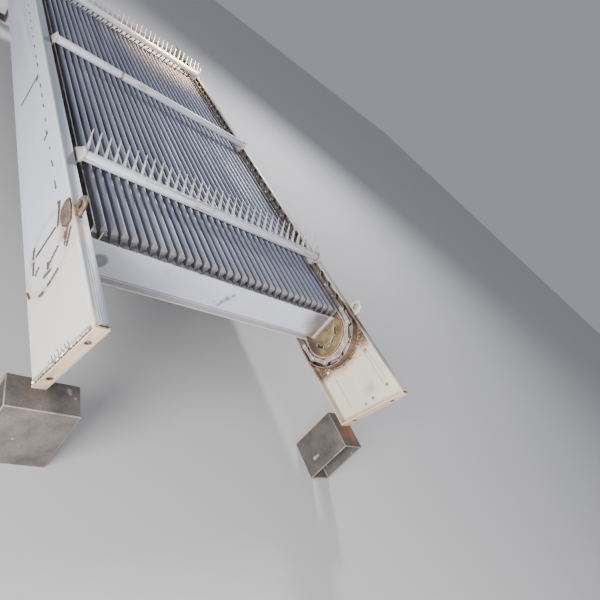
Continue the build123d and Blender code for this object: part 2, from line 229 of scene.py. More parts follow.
def draw_specks(w: Wiring, given: Given) -> NodeSocket:
    """Small round specks in a share of the cells.

    Args:
        w: The group's tree.
        given: The sockets of its inputs, by name.

    Returns:
        The mask.
    """
    cells = w.add("TexVoronoi", {"Vector": given["Vector"], "Scale": given["Size"]}).outputs
    parts = w.add("SeparateColor", {0: cells["Color"]}).outputs
    chosen = w.math("LESS_THAN", parts[0], given["Share"])
    near = w.spread(cells["Distance"], 0.12, 0.34, 1.0, 0.0)
    sized = w.math("SUBTRACT", near, w.math("MULTIPLY", parts[1], 0.4), clamp=True)
    return w.math("MULTIPLY", chosen, sized)


def draw_scuffs(w: Wiring, given: Given) -> NodeSocket:
    """Thin drawn marks, long the way that the noise is pulled.

    Args:
        w: The group's tree.
        given: The sockets of its inputs, by name.

    Returns:
        The mask.
    """
    noise = w.noise(w.vector("MULTIPLY", given["Vector"], given["Stretch"]), given["Size"], 3.0, 0.55)
    low = w.math("SUBTRACT", 0.78, given["Share"])
    return w.spread(noise, low, w.math("ADD", low, 0.06))


def draw_heat(w: Wiring, given: Given) -> NodeSocket:
    """The ragged zone along a ring, round a spot or across a band, for tints and for painted light, shade and
    shadow.

    Args:
        w: The group's tree.
        given: The sockets of its inputs, by name.

    Returns:
        The mask.
    """
    off = w.vector("MULTIPLY", w.vector("SUBTRACT", given["Vector"], given["Centre"]), given["Weights"])
    away = w.math("ABSOLUTE", w.math("SUBTRACT", w.vector("LENGTH", off, output="Value"), given["Radius"]))
    noise = w.noise(given["Vector"], 22.0, 6.0, 0.7)
    swing = w.math("MULTIPLY", w.math("SUBTRACT", noise, 0.5), given["Ragged"])
    near = w.math("MULTIPLY", given["Width"], 0.25)
    return w.spread(w.math("ADD", away, swing), near, given["Width"], 1.0, 0.0)


PATCHES = Effect("cloudy_patches", ("Vector", "Stretch", "Size", "Contrast"), draw_patches)
SPECKS = Effect("fine_specks", ("Vector", "Size", "Share"), draw_specks)
SCUFFS = Effect("drawn_scuffs", ("Vector", "Stretch", "Size", "Share"), draw_scuffs)
HEAT = Effect("heat_zone", ("Vector", "Centre", "Weights", "Radius", "Width", "Ragged"), draw_heat)


class Reach(Enum):
    """How a tint spreads: the axes along which its distance counts."""

    SPOT = (1.0, 1.0, 1.0)
    RING = (0.0, 1.0, 1.0)
    ALONG = (0.0, 1.0, 0.0)
    HEIGHT = (0.0, 0.0, 1.0)
    ACROSS = (1.0, 0.0, 0.0)


SPOT, RING, ALONG, HEIGHT, ACROSS = Reach


@dataclass(frozen=True)
class Tint:
    """A zone of another colour: heat tint, rust and dirt, and also painted light, shade and shadow."""

    reach: Reach
    centre: Point
    width: float
    colour: int
    strength: float = 0.8
    ragged: float = 0.03
    radius: float = 0.0


@dataclass(frozen=True)
class Finish:
    """A metal finish, and the name of the record's slot for it, which nothing here reads."""

    name: str
    slot: str
    light: int
    dark: int
    metallic: float = 0.3
    roughness: float = 0.5
    swing: float = 0.18
    patch: float = 3.0
    contrast: float = 1.6
    stretch: Point = (1.0, 1.0, 1.0)
    grain: float = 260.0
    brushed: Point = (1.0, 1.0, 1.0)
    grain_contrast: float = 1.3
    relief: float = 0.0003
    mottle: float = 0.12
    speck: int = 0x464240
    speck_size: float = 60.0
    specks: float = 0.06
    speck_depth: float = 0.6
    scuff: int = 0x78706A
    scuff_size: float = 9.0
    scuff_stretch: Point = (1.0, 0.12, 1.0)
    scuffs: float = 0.06
    scuff_depth: float = 0.7
    scuff_rough: float = 0.15
    # The edges' lighter colour and its share: worn metal, and a painted highlight along the edges.
    worn: int = 0xE1DEDA
    wear: float = 0.5
    bump: float = 0.6
    tints: tuple[Tint, ...] = ()

    def material(self) -> Material:
        """The finish as a material, which is made once.

        Returns:
            The material.
        """
        if self.name in bpy.data.materials:
            return bpy.data.materials[self.name]
        made = bpy.data.materials.new(self.name)
        made.use_nodes = True
        w = Wiring(made.node_tree)
        shader = made.node_tree.nodes["Principled BSDF"].inputs
        shader["Metallic"].default_value = self.metallic
        place = w.add("TexCoord", {}).outputs["Object"]
        patch = PATCHES.mask(w, place, self.stretch, self.patch, self.contrast)
        grain = PATCHES.mask(w, place, self.brushed, self.grain, self.grain_contrast)
        speck = SPECKS.mask(w, place, self.speck_size, self.specks)
        scuff = SCUFFS.mask(w, place, self.scuff_stretch, self.scuff_size, self.scuffs)
        shade = w.spread(grain, 0.0, 1.0, 1 - self.mottle, 1 + self.mottle / 2, "LINEAR")
        colour = w.blend(1.0, w.blend(patch, tone(self.dark), tone(self.light)), shade, "MULTIPLY")
        for tint in self.tints:
            centre = tuple(Vector(tint.centre) + SITE.origin)
            zone = HEAT.mask(w, place, centre, tint.reach.value, tint.radius, tint.width, tint.ragged)
            colour = w.blend(w.math("MULTIPLY", zone, tint.strength), colour, tone(tint.colour))
        # Rounded edges take a lighter colour: worn metal, and a painted highlight along the edges.
        edge = w.add("Attribute", {}, attribute_name=EDGE).outputs["Fac"]
        bare = w.math("MULTIPLY", edge, w.spread(patch, 0.0, 0.7, 0.4, 1.0))
        for mask, share, over in ((scuff, self.scuff_depth, self.scuff),
                                  (speck, self.speck_depth, self.speck), (bare, self.wear, self.worn)):
            colour = w.blend(w.math("MULTIPLY", mask, share), colour, tone(over))
        w.tree.links.new(colour, shader["Base Color"])
        rough = w.spread(patch, 0.0, 1.0, self.roughness + self.swing / 2, self.roughness - self.swing / 2)
        rough = w.math("ADD", rough, w.math("MULTIPLY", scuff, self.scuff_rough), clamp=True)
        w.tree.links.new(rough, shader["Roughness"])
        height = w.math("SUBTRACT", w.math("ADD", grain, speck), scuff)
        bump = w.add("Bump", {"Height": height, "Distance": self.relief, "Strength": self.bump})
        w.tree.links.new(bump.outputs[0], shader["Normal"])
        return made


# The finishes. Tints stand in the layout's own places: reach, centre, width, colour, strength, ragged, radius
LOOP_CENTRE = (0.0, SITE.lower_turn, SITE.mid)
SMUDGE = 0x7E7062
FRAME_LEFT = Finish("left_frame_stainless", "brushed_stainless", 0xD0D4DE, 0xBABEC9, 0.12, 0.42,
    patch=1.6, stretch=(1, 0.3, 1), grain=90, brushed=(1, 0.05, 1), relief=0.0002,
    mottle=0.05, specks=0.015, scuff=0x96928E, scuffs=0.03, worn=0xEBE8E4, tints=(
    Tint(ALONG, (0, 0.0, 0), 1.1, 0xD8D2C4, 0.75, 0.25),
    Tint(HEIGHT, (0, 0, 0.478), 0.012, 0xDEDAC4, 0.6, 0.004),
    # Flange top painted darker: painted shade, the top lit less than the web.
    Tint(HEIGHT, (0, 0, 0.4925), 0.007, 0x8C909A, 0.95, 0.002),
    Tint(SPOT, (-0.965, 0.58, 0.492), 0.1, 0xC4A68A, 0.6, 0.06),
    # Painted shadow of the left lifting eye on the flange.
    Tint(SPOT, (-0.97, 0.67, 0.492), 0.05, 0x807068, 0.6, 0.04),
    Tint(SPOT, (-1.0, 0.05, 0.46), 0.07, 0xCECCA8, 0.6, 0.03),
    Tint(SPOT, (-1.0, 0.76, 0.45), 0.13, 0x967660, 0.8, 0.1),
    Tint(SPOT, (-1.0, 0.68, 0.38), 0.06, 0xA0846E, 0.6, 0.08),
    Tint(RING, LOOP_CENTRE, 0.03, 0xB2A08C, 0.4, 0.08, 0.21),
    Tint(SPOT, (-1.0, 0.62, 0.23), 0.05, SMUDGE, 0.45, 0.08),
    Tint(SPOT, (-1.0, 0.62, 0.41), 0.045, SMUDGE, 0.5, 0.08),
    Tint(SPOT, (-1.0, 0.53, 0.15), 0.04, SMUDGE, 0.4, 0.08),
    Tint(SPOT, (-1.0, 0.8, 0.1), 0.04, SMUDGE, 0.4, 0.08)))
FRAME_RIGHT = Finish("right_frame_stainless", "brushed_stainless", 0xDED7C6, 0xCEC6B4, 0.12, 0.45,
    patch=2.2, stretch=(1, 0.4, 1), grain=90, brushed=(1, 0.05, 1), relief=0.0002,
    mottle=0.06, specks=0.02, scuff=0x968A7E, scuffs=0.03, worn=0xEEE8DE, tints=(
    # Flange top painted darker: painted shade, the top lit less than the web; the spot after it paints it
    # lighter near the foot.
    Tint(HEIGHT, (0, 0, 0.4925), 0.007, 0x9C9A9A, 0.9, 0.002),
    Tint(SPOT, (1.0, 0.06, 0.49), 0.2, 0xE4DEC6, 0.85, 0.04),
    Tint(HEIGHT, (0, 0, 0.008), 0.016, 0x968672, 0.6, 0.012),
    # From about a metre on, painted darker: painted shade over the far part of the frame's inside.
    Tint(ALONG, (0, 4.0, 0), 3.1, 0x8C8076, 0.7, 0.2),
    Tint(RING, LOOP_CENTRE, 0.09, 0x42322A, 0.95, 0.04, 0.19),
    Tint(RING, LOOP_CENTRE, 0.05, 0xAC8C68, 0.5, 0.07, 0.262),
    Tint(RING, LOOP_CENTRE, 0.024, 0x5A422E, 0.9, 0.04, 0.242),
    Tint(SPOT, (0.992, 0.5, 0.445), 0.075, 0x8E603C, 0.85, 0.05),
    Tint(SPOT, (0.992, 0.585, 0.455), 0.13, 0x3C2E24, 0.95, 0.05),
    Tint(SPOT, (0.992, 0.55, 0.05), 0.1, 0x583E2C, 0.95, 0.07),
    Tint(SPOT, (0.992, 0.205, 0.287), 0.06, 0xAEAEA6, 0.8, 0.07),
    Tint(SPOT, (0.992, 0.438, 0.405), 0.02, 0x787060, 0.8, 0.03),
    Tint(SPOT, (0.992, 0.147, 0.407), 0.017, 0x565248, 0.9, 0.02),
    Tint(SPOT, (0.992, 0.145, 0.272), 0.017, 0x565248, 0.9, 0.02),
    Tint(SPOT, (0.992, 0.149, 0.207), 0.014, 0x625C50, 0.9, 0.02)))
# Dark rings in the foot plates' holes: painted shade of the dark inside seen through them.
HOLE_RUST = 0x3A281E
FOOT_PLATE = Finish("foot_plate_cream", "cream_plate", 0xD8C1AD, 0xC6AD97, 0.1, 0.55, patch=9,
    grain=160, mottle=0.08, speck=0x967A64, speck_size=90, specks=0.05, worn=0xF0E4D6,
    tints=(Tint(ACROSS, (0.97, 0, 0), 0.1, 0xD6B892, 0.6),) + tuple(
        Tint(SPOT, (x, y, z), 0.009, HOLE_RUST, 0.95, 0.006, 0.0095)
        for x in (-0.97, 0.97) for y, z in ((0.0275, 0.386), (0.107, 0.09))))
EYE_DARK = Finish("lifting_eye_tinted", "rusted_plate", 0x8C7768, 0x54443A, 0.3, 0.5, patch=26,
    contrast=2.2, grain=220, speck=0x50382C, specks=0.15, worn=0xD8C8B6, tints=(
    Tint(SPOT, (-0.98, 0.728, 0.53), 0.007, 0x362A24, 0.9, 0.004, 0.018),))
EYE_PALE = Finish("lifting_eye_pale", "rusted_plate", 0xE2E0D4, 0xBEB8A8, 0.2, 0.45, patch=24,
    contrast=2.0, grain=220, speck=0x826E5A, specks=0.08, worn=0xF0ECE2, tints=(
    Tint(SPOT, (0.98, 0.728, 0.53), 0.007, 0x46382E, 0.9, 0.004, 0.018),))
RACK_BAR = Finish("rack_bar_grey", "rack_bar", 0x989AAA, 0x74758A, 0.3, 0.5, patch=5,
    stretch=(2, 0.12, 2), contrast=1.8, grain=150, brushed=(1, 0.03, 1), mottle=0.16,
    speck=0x3E3C42, speck_size=42, specks=0.06, scuff=0x64626C, scuff_size=6, scuffs=0.08,
    worn=0xCECCCE, wear=0.7, tints=(
    # Near ends painted darker: painted shade against the lamps that light the end faces.
    Tint(ALONG, (0, 0.74, 0), 0.12, 0x928D8E, 0.5, 0.06),
    Tint(ALONG, (0, 0.745, 0), 0.004, 0x7E7B7E, 0.9, 0.0),
    # Lower flanks painted dark: painted shade deep in the gaps between the bars.
    Tint(HEIGHT, (0, 0, 0.37), 0.075, 0x322F38, 0.85, 0.01)))
SIDE_BAR = Finish("rack_side_bar_dark", "rack_bar", 0x78767A, 0x545052, 0.35, 0.5, patch=7,
    contrast=2.0, specks=0.12, scuffs=0.1, worn=0xBEB8B2)
BEAM = Finish("beam_pale", "pale_beam", 0xCFD5E1, 0xC3C5D4, 0.1, 0.36, patch=3.4, contrast=1.5,
    grain=120, relief=0.0001, mottle=0.03, speck=0x787C88, speck_size=26, specks=0.02,
    scuff=0x9EA4B0, scuffs=0.02, worn=0xE2DED6, tints=(
    # Greyer and darker towards the left end: painted shade of the left frame.
    Tint(ACROSS, (-1.0, 0, 0), 0.5, 0xC4C4C4, 0.7, 0.1),
    # A dark ring and spot: painted shadow of the left lifting eye on the beam.
    Tint(SPOT, (-0.765, 0.73, 0.266), 0.022, 0x76787A, 0.9, 0.01, 0.03),
    Tint(SPOT, (-0.765, 0.73, 0.266), 0.046, 0x7A7C7E, 0.9, 0.004),
    Tint(HEIGHT, (0, 0, 0.3785), 0.005, 0x969294, 0.7, 0.008),
    Tint(SPOT, (-0.655, 0.73, 0.366), 0.007, 0x787C8A, 0.9, 0.0),
    Tint(SPOT, (-0.57, 0.73, 0.328), 0.008, 0x686A7C, 0.9, 0.0),
    Tint(SPOT, (-0.293, 0.73, 0.266), 0.008, 0x6E6E80, 0.9, 0.0),
    Tint(SPOT, (-0.315, 0.73, 0.196), 0.009, 0x7670A0, 0.8, 0.0),
    Tint(SPOT, (-0.416, 0.73, 0.323), 0.04, 0xB0BECC, 0.7, 0.07),
    Tint(SPOT, (0.052, 0.73, 0.305), 0.024, 0x7E8C94, 0.95, 0.01),
    Tint(SPOT, (0.03, 0.73, 0.272), 0.034, 0x7C8A91, 0.95, 0.012),
    Tint(SPOT, (0.01, 0.73, 0.24), 0.028, 0x7E8C94, 0.95, 0.012),
    Tint(SPOT, (0.002, 0.73, 0.212), 0.024, 0x828F96, 0.95, 0.01),
    Tint(SPOT, (0.84, 0.73, 0.34), 0.2, 0x685C5C, 0.9, 0.08),
    Tint(SPOT, (0.9, 0.73, 0.2), 0.16, 0x70625E, 0.9, 0.08),
    Tint(HEIGHT, (0, 0, 0.174), 0.01, 0xB2A8A4, 0.9, 0.002),
    Tint(HEIGHT, (0, 0, 0.184), 0.0045, 0x604E48, 0.85, 0.003)))
END_FLAT = Finish("beam_end_flat_tinted", "pale_beam", 0xCEBEB4, 0xAA968E, 0.2, 0.45, patch=10,
    contrast=1.6, grain=180, speck=0x786254, speck_size=70, specks=0.06, worn=0xE8DED2)
RACK_FLAT = Finish("rack_flat_grey", "pale_beam", 0x96989E, 0x76767A, 0.4, 0.5, patch=8,
    specks=0.08)
HEAD_PLATE = Finish("head_plate_stainless", "pale_beam", 0xC8CACE, 0xACAEB4, 0.3, 0.4, patch=2.4,
    stretch=(0.4, 1, 1), grain=110, brushed=(0.05, 1, 1), mottle=0.08, scuffs=0.07,
    specks=0.02)
GUIDE = Finish("guide_flat_tinted", "rail_flat", 0xD4C4BC, 0x967C70, 0.3, 0.45, patch=16, contrast=1.8,
    grain=180, speck=0x584236, speck_size=70, specks=0.16, worn=0xF2EAE2, wear=0.85, tints=(
    Tint(ALONG, (0, 3.4, 0), 3.1, 0x686260, 0.85),))
HOOP = replace(GUIDE, name="outer_hoop_tinted", light=0x867262, dark=0x48382E, worn=0xECE2D6,
    tints=GUIDE.tints + (
    # A thin dark ring at the hoop's inner edge: painted shade in the gap between chain and hoop.
    Tint(RING, LOOP_CENTRE, 0.0045, 0x3A2D28, 0.95, 0.002, 0.2292),))
DISC = Finish("guide_disc_straw", "tinted_disc", 0x9E8D66, 0x685740, 0.3, 0.4, patch=14, contrast=2.4,
    grain=190, speck=0x6E543C, speck_size=66, specks=0.1, worn=0xF0E4C8, wear=0.8, tints=(
    Tint(RING, LOOP_CENTRE, 0.03, 0x74543E, 0.7, 0.04, 0.16),
    # Dark zone at the disc's lower part: painted shadow.
    Tint(RING, (0.0, 0.7, 0.095), 0.12, 0x543E3E, 0.9, 0.05),
    Tint(RING, (0.0, 0.6, 0.33), 0.06, 0x967A56, 0.6, 0.06)))
# Lit and shaded copies of one chain: the lighter one paints light on the lower turn, the darker one paints
# shade on the runs and upper turn.
CHAIN = Finish("chain_link_satin", "chain_link", 0xD0C4BE, 0x92827A, 0.35, 0.4, patch=20, contrast=2.2,
    grain=240, speck=0x6E584E, speck_size=80, specks=0.1, worn=0xFAF6F2, wear=0.9)
CHAIN_RUN = replace(CHAIN, name="chain_link_greased", light=0x8E8886, dark=0x544D4C, worn=0xD6D0CC,
    wear=0.8)
ROLLER = Finish("chain_roller_dark", "chain_link", 0x584E4A, 0x342E2C, 0.4, 0.38, patch=24,
    specks=0.12, worn=0xBEB4AC, wear=0.8)
TUBE = Finish("rake_tube_pickled", "rake_tube", 0xD8D9E2, 0xBEBFC8, 0.12, 0.45, patch=7,
    stretch=(0.35, 1, 1), contrast=1.5, grain=140, brushed=(0.06, 1, 1), mottle=0.14,
    speck=0x5C5454, speck_size=40, specks=0.13, scuff=0x807777, scuff_size=44,
    scuff_stretch=(0.08, 1, 1), scuffs=0.2, worn=0xECE8E2, wear=0.6, tints=(
    Tint(ACROSS, (-0.9, 0, 0), 0.02, 0xCEBCAE, 0.5, 0.03),))
TUBE_BURNT = replace(TUBE, name="rake_tube_burnt_end", tints=TUBE.tints + (
    Tint(ACROSS, (0.91, 0, 0), 0.04, 0x8C6044, 0.8, 0.04),))
BRACKET = Finish("rake_bracket_cream", "rake_tube", 0xD0C2BC, 0xB2A29A, 0.12, 0.5, patch=14, grain=180,
    mottle=0.08, speck=0x826450, speck_size=80, specks=0.08, worn=0xF2ECE4)
TOOTH = Finish("rake_tooth_plate", "rake_tube", 0xD0CBCB, 0xA6A0A0, 0.12, 0.45, patch=18, grain=200,
    specks=0.06, worn=0xF0ECE8, wear=0.6)
# The fingers under the tube painted dark: painted shade, a shaded copy of the tooth plate.
FINGER = replace(TOOTH, name="rake_finger_dark", light=0x5C585C, dark=0x363236, worn=0x969292,
    wear=0.6)
# Near-white patches paint the bead's highlights; the brown between them is straw heat tint.
WELD = Finish("weld_bead_straw", "cream_plate", 0xFFFAEC, 0x806446, 0.4, 0.3, patch=90, contrast=3.0,
    grain=420, mottle=0.2, speck=0x6E5440, speck_size=120, specks=0.12)
HOOP_WELD = Finish("weld_bead_brown", "rusted_plate", 0xA4825C, 0x543C2A, 0.3, 0.4, patch=40,
    contrast=2.4, grain=420, mottle=0.2, speck=0xECE0CC, speck_size=90, specks=0.14)
BURN = Finish("weld_bead_burnt", "rusted_plate", 0x74655A, 0x483C34, 0.25, 0.5, patch=60, contrast=2.2,
    grain=420, mottle=0.2, speck=0x28201C, speck_size=120, specks=0.2)
CRACK = replace(BURN, name="weld_edge_dark", light=0x604E3E, dark=0x322822)
# A dark finish for the line under the bars' ends: painted shade.
DIRT = Finish("rack_seat_dirt", "rusted_plate", 0x968F8D, 0x504B4C, 0.1, 0.7, patch=50, contrast=2.4,
    grain=300, relief=0.001, mottle=0.25, speck=0x262426, speck_size=110, specks=0.25)
SCRIBE = Finish("scribed_line_grey", "brushed_stainless", 0x968E80, 0x787064, 0.2, 0.5, patch=30)
SPATTER = Finish("weld_spatter_bright", "cream_plate", 0xFAF4E8, 0xDECEB6, 0.2, 0.28, patch=80)
SHAFT = Finish("turned_shaft", "shaft_steel", 0xB8B8BA, 0x969698, 0.85, 0.3, patch=12,
    stretch=(3, 1, 1), grain=300, brushed=(1, 0.1, 0.1), mottle=0.08, specks=0.03)
SPROCKET = Finish("sprocket_cut_plate", "shaft_steel", 0x9E9A96, 0x76706C, 0.7, 0.4, patch=14,
    specks=0.08, worn=0xD6D2CC, wear=0.8)
CASTING = Finish("bearing_casting", "bearing_cast", 0x70767C, 0x54585E, 0.1, 0.6, patch=18, grain=170,
    relief=0.0012, mottle=0.2, specks=0.1, worn=0x969490)
BOLT = Finish("bolt_stainless", "shaft_steel", 0xC4C2BE, 0x9C9894, 0.8, 0.3, patch=50,
    specks=0.05)
STOOL = Finish("stool_rusty_box", "rusty_box", 0x746A64, 0x4C4645, 0.1, 0.62, patch=8, contrast=2.0,
    grain=110, relief=0.0014, mottle=0.28, speck=0xBEB6AE, speck_size=34, specks=0.08,
    scuff=0xA49A90, scuff_size=16, scuff_stretch=(1, 0.5, 0.3), scuffs=0.1, worn=0xAA9E92,
    wear=0.7, tints=(Tint(SPOT, (1.0, 0.1, 0.0), 0.12, 0x966444, 0.7, 0.1),))
STOOL_DULL = replace(STOOL, name="stool_dull_box", light=0x625B56, dark=0x423C39, worn=0x96887A)


# Mesh tools


def pattern(form: BMesh, name: str = "pattern") -> Mesh:
    """A mesh from a form, which is used up.

    Args:
        form: The form.
        name: The mesh's name.

    Returns:
        The new mesh.
    """
    mesh = bpy.data.meshes.new(name)
    form.to_mesh(mesh)
    form.free()
    return mesh


def placed(name: str, data: bpy.types.ID) -> Object:
    """A new object in the scene.

    Args:
        name: The object's name.
        data: What it holds.

    Returns:
        The new object.
    """
    made = bpy.data.objects.new(name, data)
    bpy.context.scene.collection.objects.link(made)
    return made


def shift(x: float, y: float, z: float) -> Matrix:
    """A move, as a matrix."""
    return Matrix.Translation((x, y, z))


def stamp(target: BMesh, shape: Mesh, place: Matrix) -> None:
    """Adds a placed copy of a pattern to a mesh.

    Args:
        target: The mesh, which changes.
        shape: The pattern.
        place: Where the copy goes.
    """
    copy = shape.copy()
    copy.transform(place)
    if place.determinant() < 0:
        copy.flip_normals()
    target.from_mesh(copy)
    bpy.data.meshes.remove(copy)


def joined(forms: Iterable[BMesh]) -> BMesh:
    """Several meshes in one, the parts used up.

    Args:
        forms: The meshes.

    Returns:
        A new mesh.
    """
    whole = bmesh.new()
    for form in forms:
        mesh = pattern(form)
        whole.from_mesh(mesh)
        bpy.data.meshes.remove(mesh)
    return whole


def mirrored(form: BMesh) -> BMesh:
    """A form with its match on the screen's other side.

    Args:
        form: The right side's mesh, which is used up.

    Returns:
        A new mesh with both sides.
    """
    mesh = pattern(form)
    whole = bmesh.new()
    whole.from_mesh(mesh)
    stamp(whole, mesh, Matrix.Scale(-1, 4, Vector((1, 0, 0))))
    bpy.data.meshes.remove(mesh)
    return whole


def extruded(corners: Iterable[Point], along: Point) -> BMesh:
    """A solid, from one end's corners and the way to the other end.

    Args:
        corners: The corners of one end, in turn.
        along: The way to the other end.

    Returns:
        A new mesh.
    """
    form = bmesh.new()
    base = form.faces.new([form.verts.new(corner) for corner in corners])
    grown = bmesh.ops.extrude_face_region(form, geom=[base])["geom"]
    bmesh.ops.translate(form, verts=[item for item in grown if isinstance(item, BMVert)], vec=along)
    return form


def prism(outline: Iterable[Pair], low: float, high: float) -> BMesh:
    """A solid across the screen, from its (y, z) corners and its two ends along X.

    Args:
        outline: The corners, in turn.
        low: The left end.
        high: The right end.

    Returns:
        A new mesh.
    """
    form = extruded(drawn(low, outline), (high - low, 0, 0))
    bmesh.ops.recalc_face_normals(form, faces=form.faces)
    return form


def rod(radius: float, length: float, sides: int, middle: Point = (0, 0, 0)) -> BMesh:
    """A round bar along X.

    Args:
        radius: Its radius.
        length: Its length.
        sides: The faces round it.
        middle: The place of its middle.

    Returns:
        A new mesh.
    """
    form = bmesh.new()
    bmesh.ops.create_cone(form, cap_ends=True, segments=sides, radius1=radius, radius2=radius, depth=length,
                          matrix=shift(*middle) @ Matrix.Rotation(math.pi / 2, 4, "Y"))
    return form


def drop() -> Mesh:
    """A small faceted ball to stamp.

    Returns:
        The pattern.
    """
    form = bmesh.new()
    bmesh.ops.create_icosphere(form, subdivisions=1, radius=1.0)
    return pattern(form)


def soften(form: BMesh, width: float, segments: int = 2, over: float = 30.0,
           only: Callable[[BMEdge], bool] | None = None, mark: bool = True) -> BMesh:
    """Rounds the sharp edges and marks the new faces as edges.

    Args:
        form: The mesh, which changes.
        width: How far the rounding reaches from an edge.
        segments: The faces across it.
        over: The angle in degrees between two faces above which their edge is rounded.
        only: A test that an edge also has to pass.
        mark: Whether the edges' lighter colour, wear and painted highlight, shows on the new faces.

    Returns:
        The same mesh.
    """
    layer = form.faces.layers.float.get(EDGE) or form.faces.layers.float.new(EDGE)
    limit = math.radians(over)
    edges = [edge for edge in form.edges if len(edge.link_faces) == 2 and edge.calc_face_angle(0) > limit
             and (only is None or only(edge))]
    done = bmesh.ops.bevel(form, geom=edges, offset=width, segments=segments, profile=0.5, affect="EDGES",
                           material=-1, clamp_overlap=True)
    for face in done["faces"]:
        face[layer] = float(mark)
    return form


def merged_copy(node: str) -> BMesh:
    """A CAD node's form, its triangles joined to whole faces.

    Args:
        node: The node's name.

    Returns:
        A new mesh.
    """
    form = bmesh.new()
    form.from_mesh(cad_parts[node].data)
    bmesh.ops.remove_doubles(form, verts=form.verts, dist=1e-5)
    bmesh.ops.dissolve_limit(form, angle_limit=math.radians(1), verts=form.verts, edges=form.edges)
    bmesh.ops.translate(form, verts=form.verts, vec=-SITE.origin)
    return form


def drawn(x: float, path: Iterable[Pair]) -> list[Vector]:
    """The points of a (y, z) path at a place across the screen."""
    return [Vector((x, y, z)) for y, z in path]


def arc(centre: Point, radius: float, start: float, end: float, step: float = 6.0) -> list[Vector]:
    """Points of an arc along the screen, between two angles in degrees from +Y.

    Args:
        centre: Its centre.
        radius: Its radius.
        start: The first angle.
        end: The last angle.
        step: About how many degrees lie between two points.

    Returns:
        The points, in turn.
    """
    count = max(2, round(abs(end - start) / step))
    angles = [math.radians(start + (end - start) * i / count) for i in range(count + 1)]
    x, y, z = centre
    return drawn(x, [(y + radius * math.cos(a), z + radius * math.sin(a)) for a in angles])


def bead(path: Sequence[Vector], radius: float, step: float = 0.006, ripple: float = 0.22,
         sides: int = 8, seed: int = 1) -> BMesh:
    """A weld bead: a ring drawn along a path, whose size swings from ripple to ripple.

    Args:
        path: The points that it follows.
        radius: Its mean radius.
        step: The length of a ripple's half.
        ripple: How far its size swings.
        sides: The faces round it.
        seed: The start of its unevenness.

    Returns:
        A new mesh in the layout's own places.
    """
    chance = random.Random(seed)
    stations: list[tuple[Vector, Vector]] = []
    for start, end in zip(path, path[1:]):
        run = end - start
        count = max(1, round(run.length / step))
        stations += [(start + run * (i / count), run.normalized()) for i in range(count)]
    stations.append((path[-1], (path[-1] - path[-2]).normalized()))
    form = bmesh.new()
    bmesh.ops.create_circle(form, segments=sides, radius=1.0)
    ring, verts = form.edges[:], form.verts[:]
    last = Matrix.Identity(4)
    for index, (point, way) in enumerate(stations):
        size = radius * (1 + ripple * (1 if index % 2 else -1) + ripple * (chance.random() - 0.5))
        if index in (0, len(stations) - 1):
            size *= 0.5
        turn = way.to_track_quat("Z", "Y").to_matrix().to_4x4()
        target = Matrix.Translation(point) @ turn @ Matrix.Scale(size, 4)
        if index:
            grown = bmesh.ops.extrude_edge_only(form, edges=ring)["geom"]
            ring = [item for item in grown if isinstance(item, BMEdge)]
            verts = [item for item in grown if isinstance(item, BMVert)]
        bmesh.ops.transform(form, matrix=target @ last.inverted(), verts=verts)
        last = target
    rims = [edge for edge in form.edges if len(edge.link_faces) < 2]
    bmesh.ops.holes_fill(form, edges=rims, sides=sides)
    bmesh.ops.recalc_face_normals(form, faces=form.faces)
    return form


def piece(form: BMesh, name: str, finish: Finish, replaces: Sequence[str] = (),
          smooth: float = 35.0) -> None:
    """Turns a mesh into a piece of the object, which rides on the machine's body.

    Args:
        form: The mesh in the layout's own places, which is used up.
        name: The piece's name.
        finish: What it is made of.
        replaces: The CAD nodes that it stands for.
        smooth: The angle in degrees up to which its faces are shaded as one.
    """
    bmesh.ops.translate(form, verts=form.verts, vec=SITE.origin)
    mesh = pattern(form, name)
    mesh.shade_smooth()
    mesh.set_sharp_from_angle(angle=math.radians(smooth))
    mesh.materials.append(finish.material())
    made = placed(name, mesh)
    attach(made, ROOT)
    if replaces:
        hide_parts(*replaces)
    LOG.info("%s: %d faces, %s", name, len(mesh.polygons), finish.name)


def beads(lines: Iterable[BMesh], name: str, finish: Finish) -> None:
    """The right side's beads and their matches, as one piece."""
    piece(mirrored(joined(lines)), name, finish, smooth=ROUND)


def dress(node: str, finish: Finish, width: float, segments: int = 2) -> None:
    """Stands a CAD node's form, its edges rounded, for the node."""
    piece(soften(merged_copy(node), width, segments), node + "_dressed", finish, [node])


# The machine


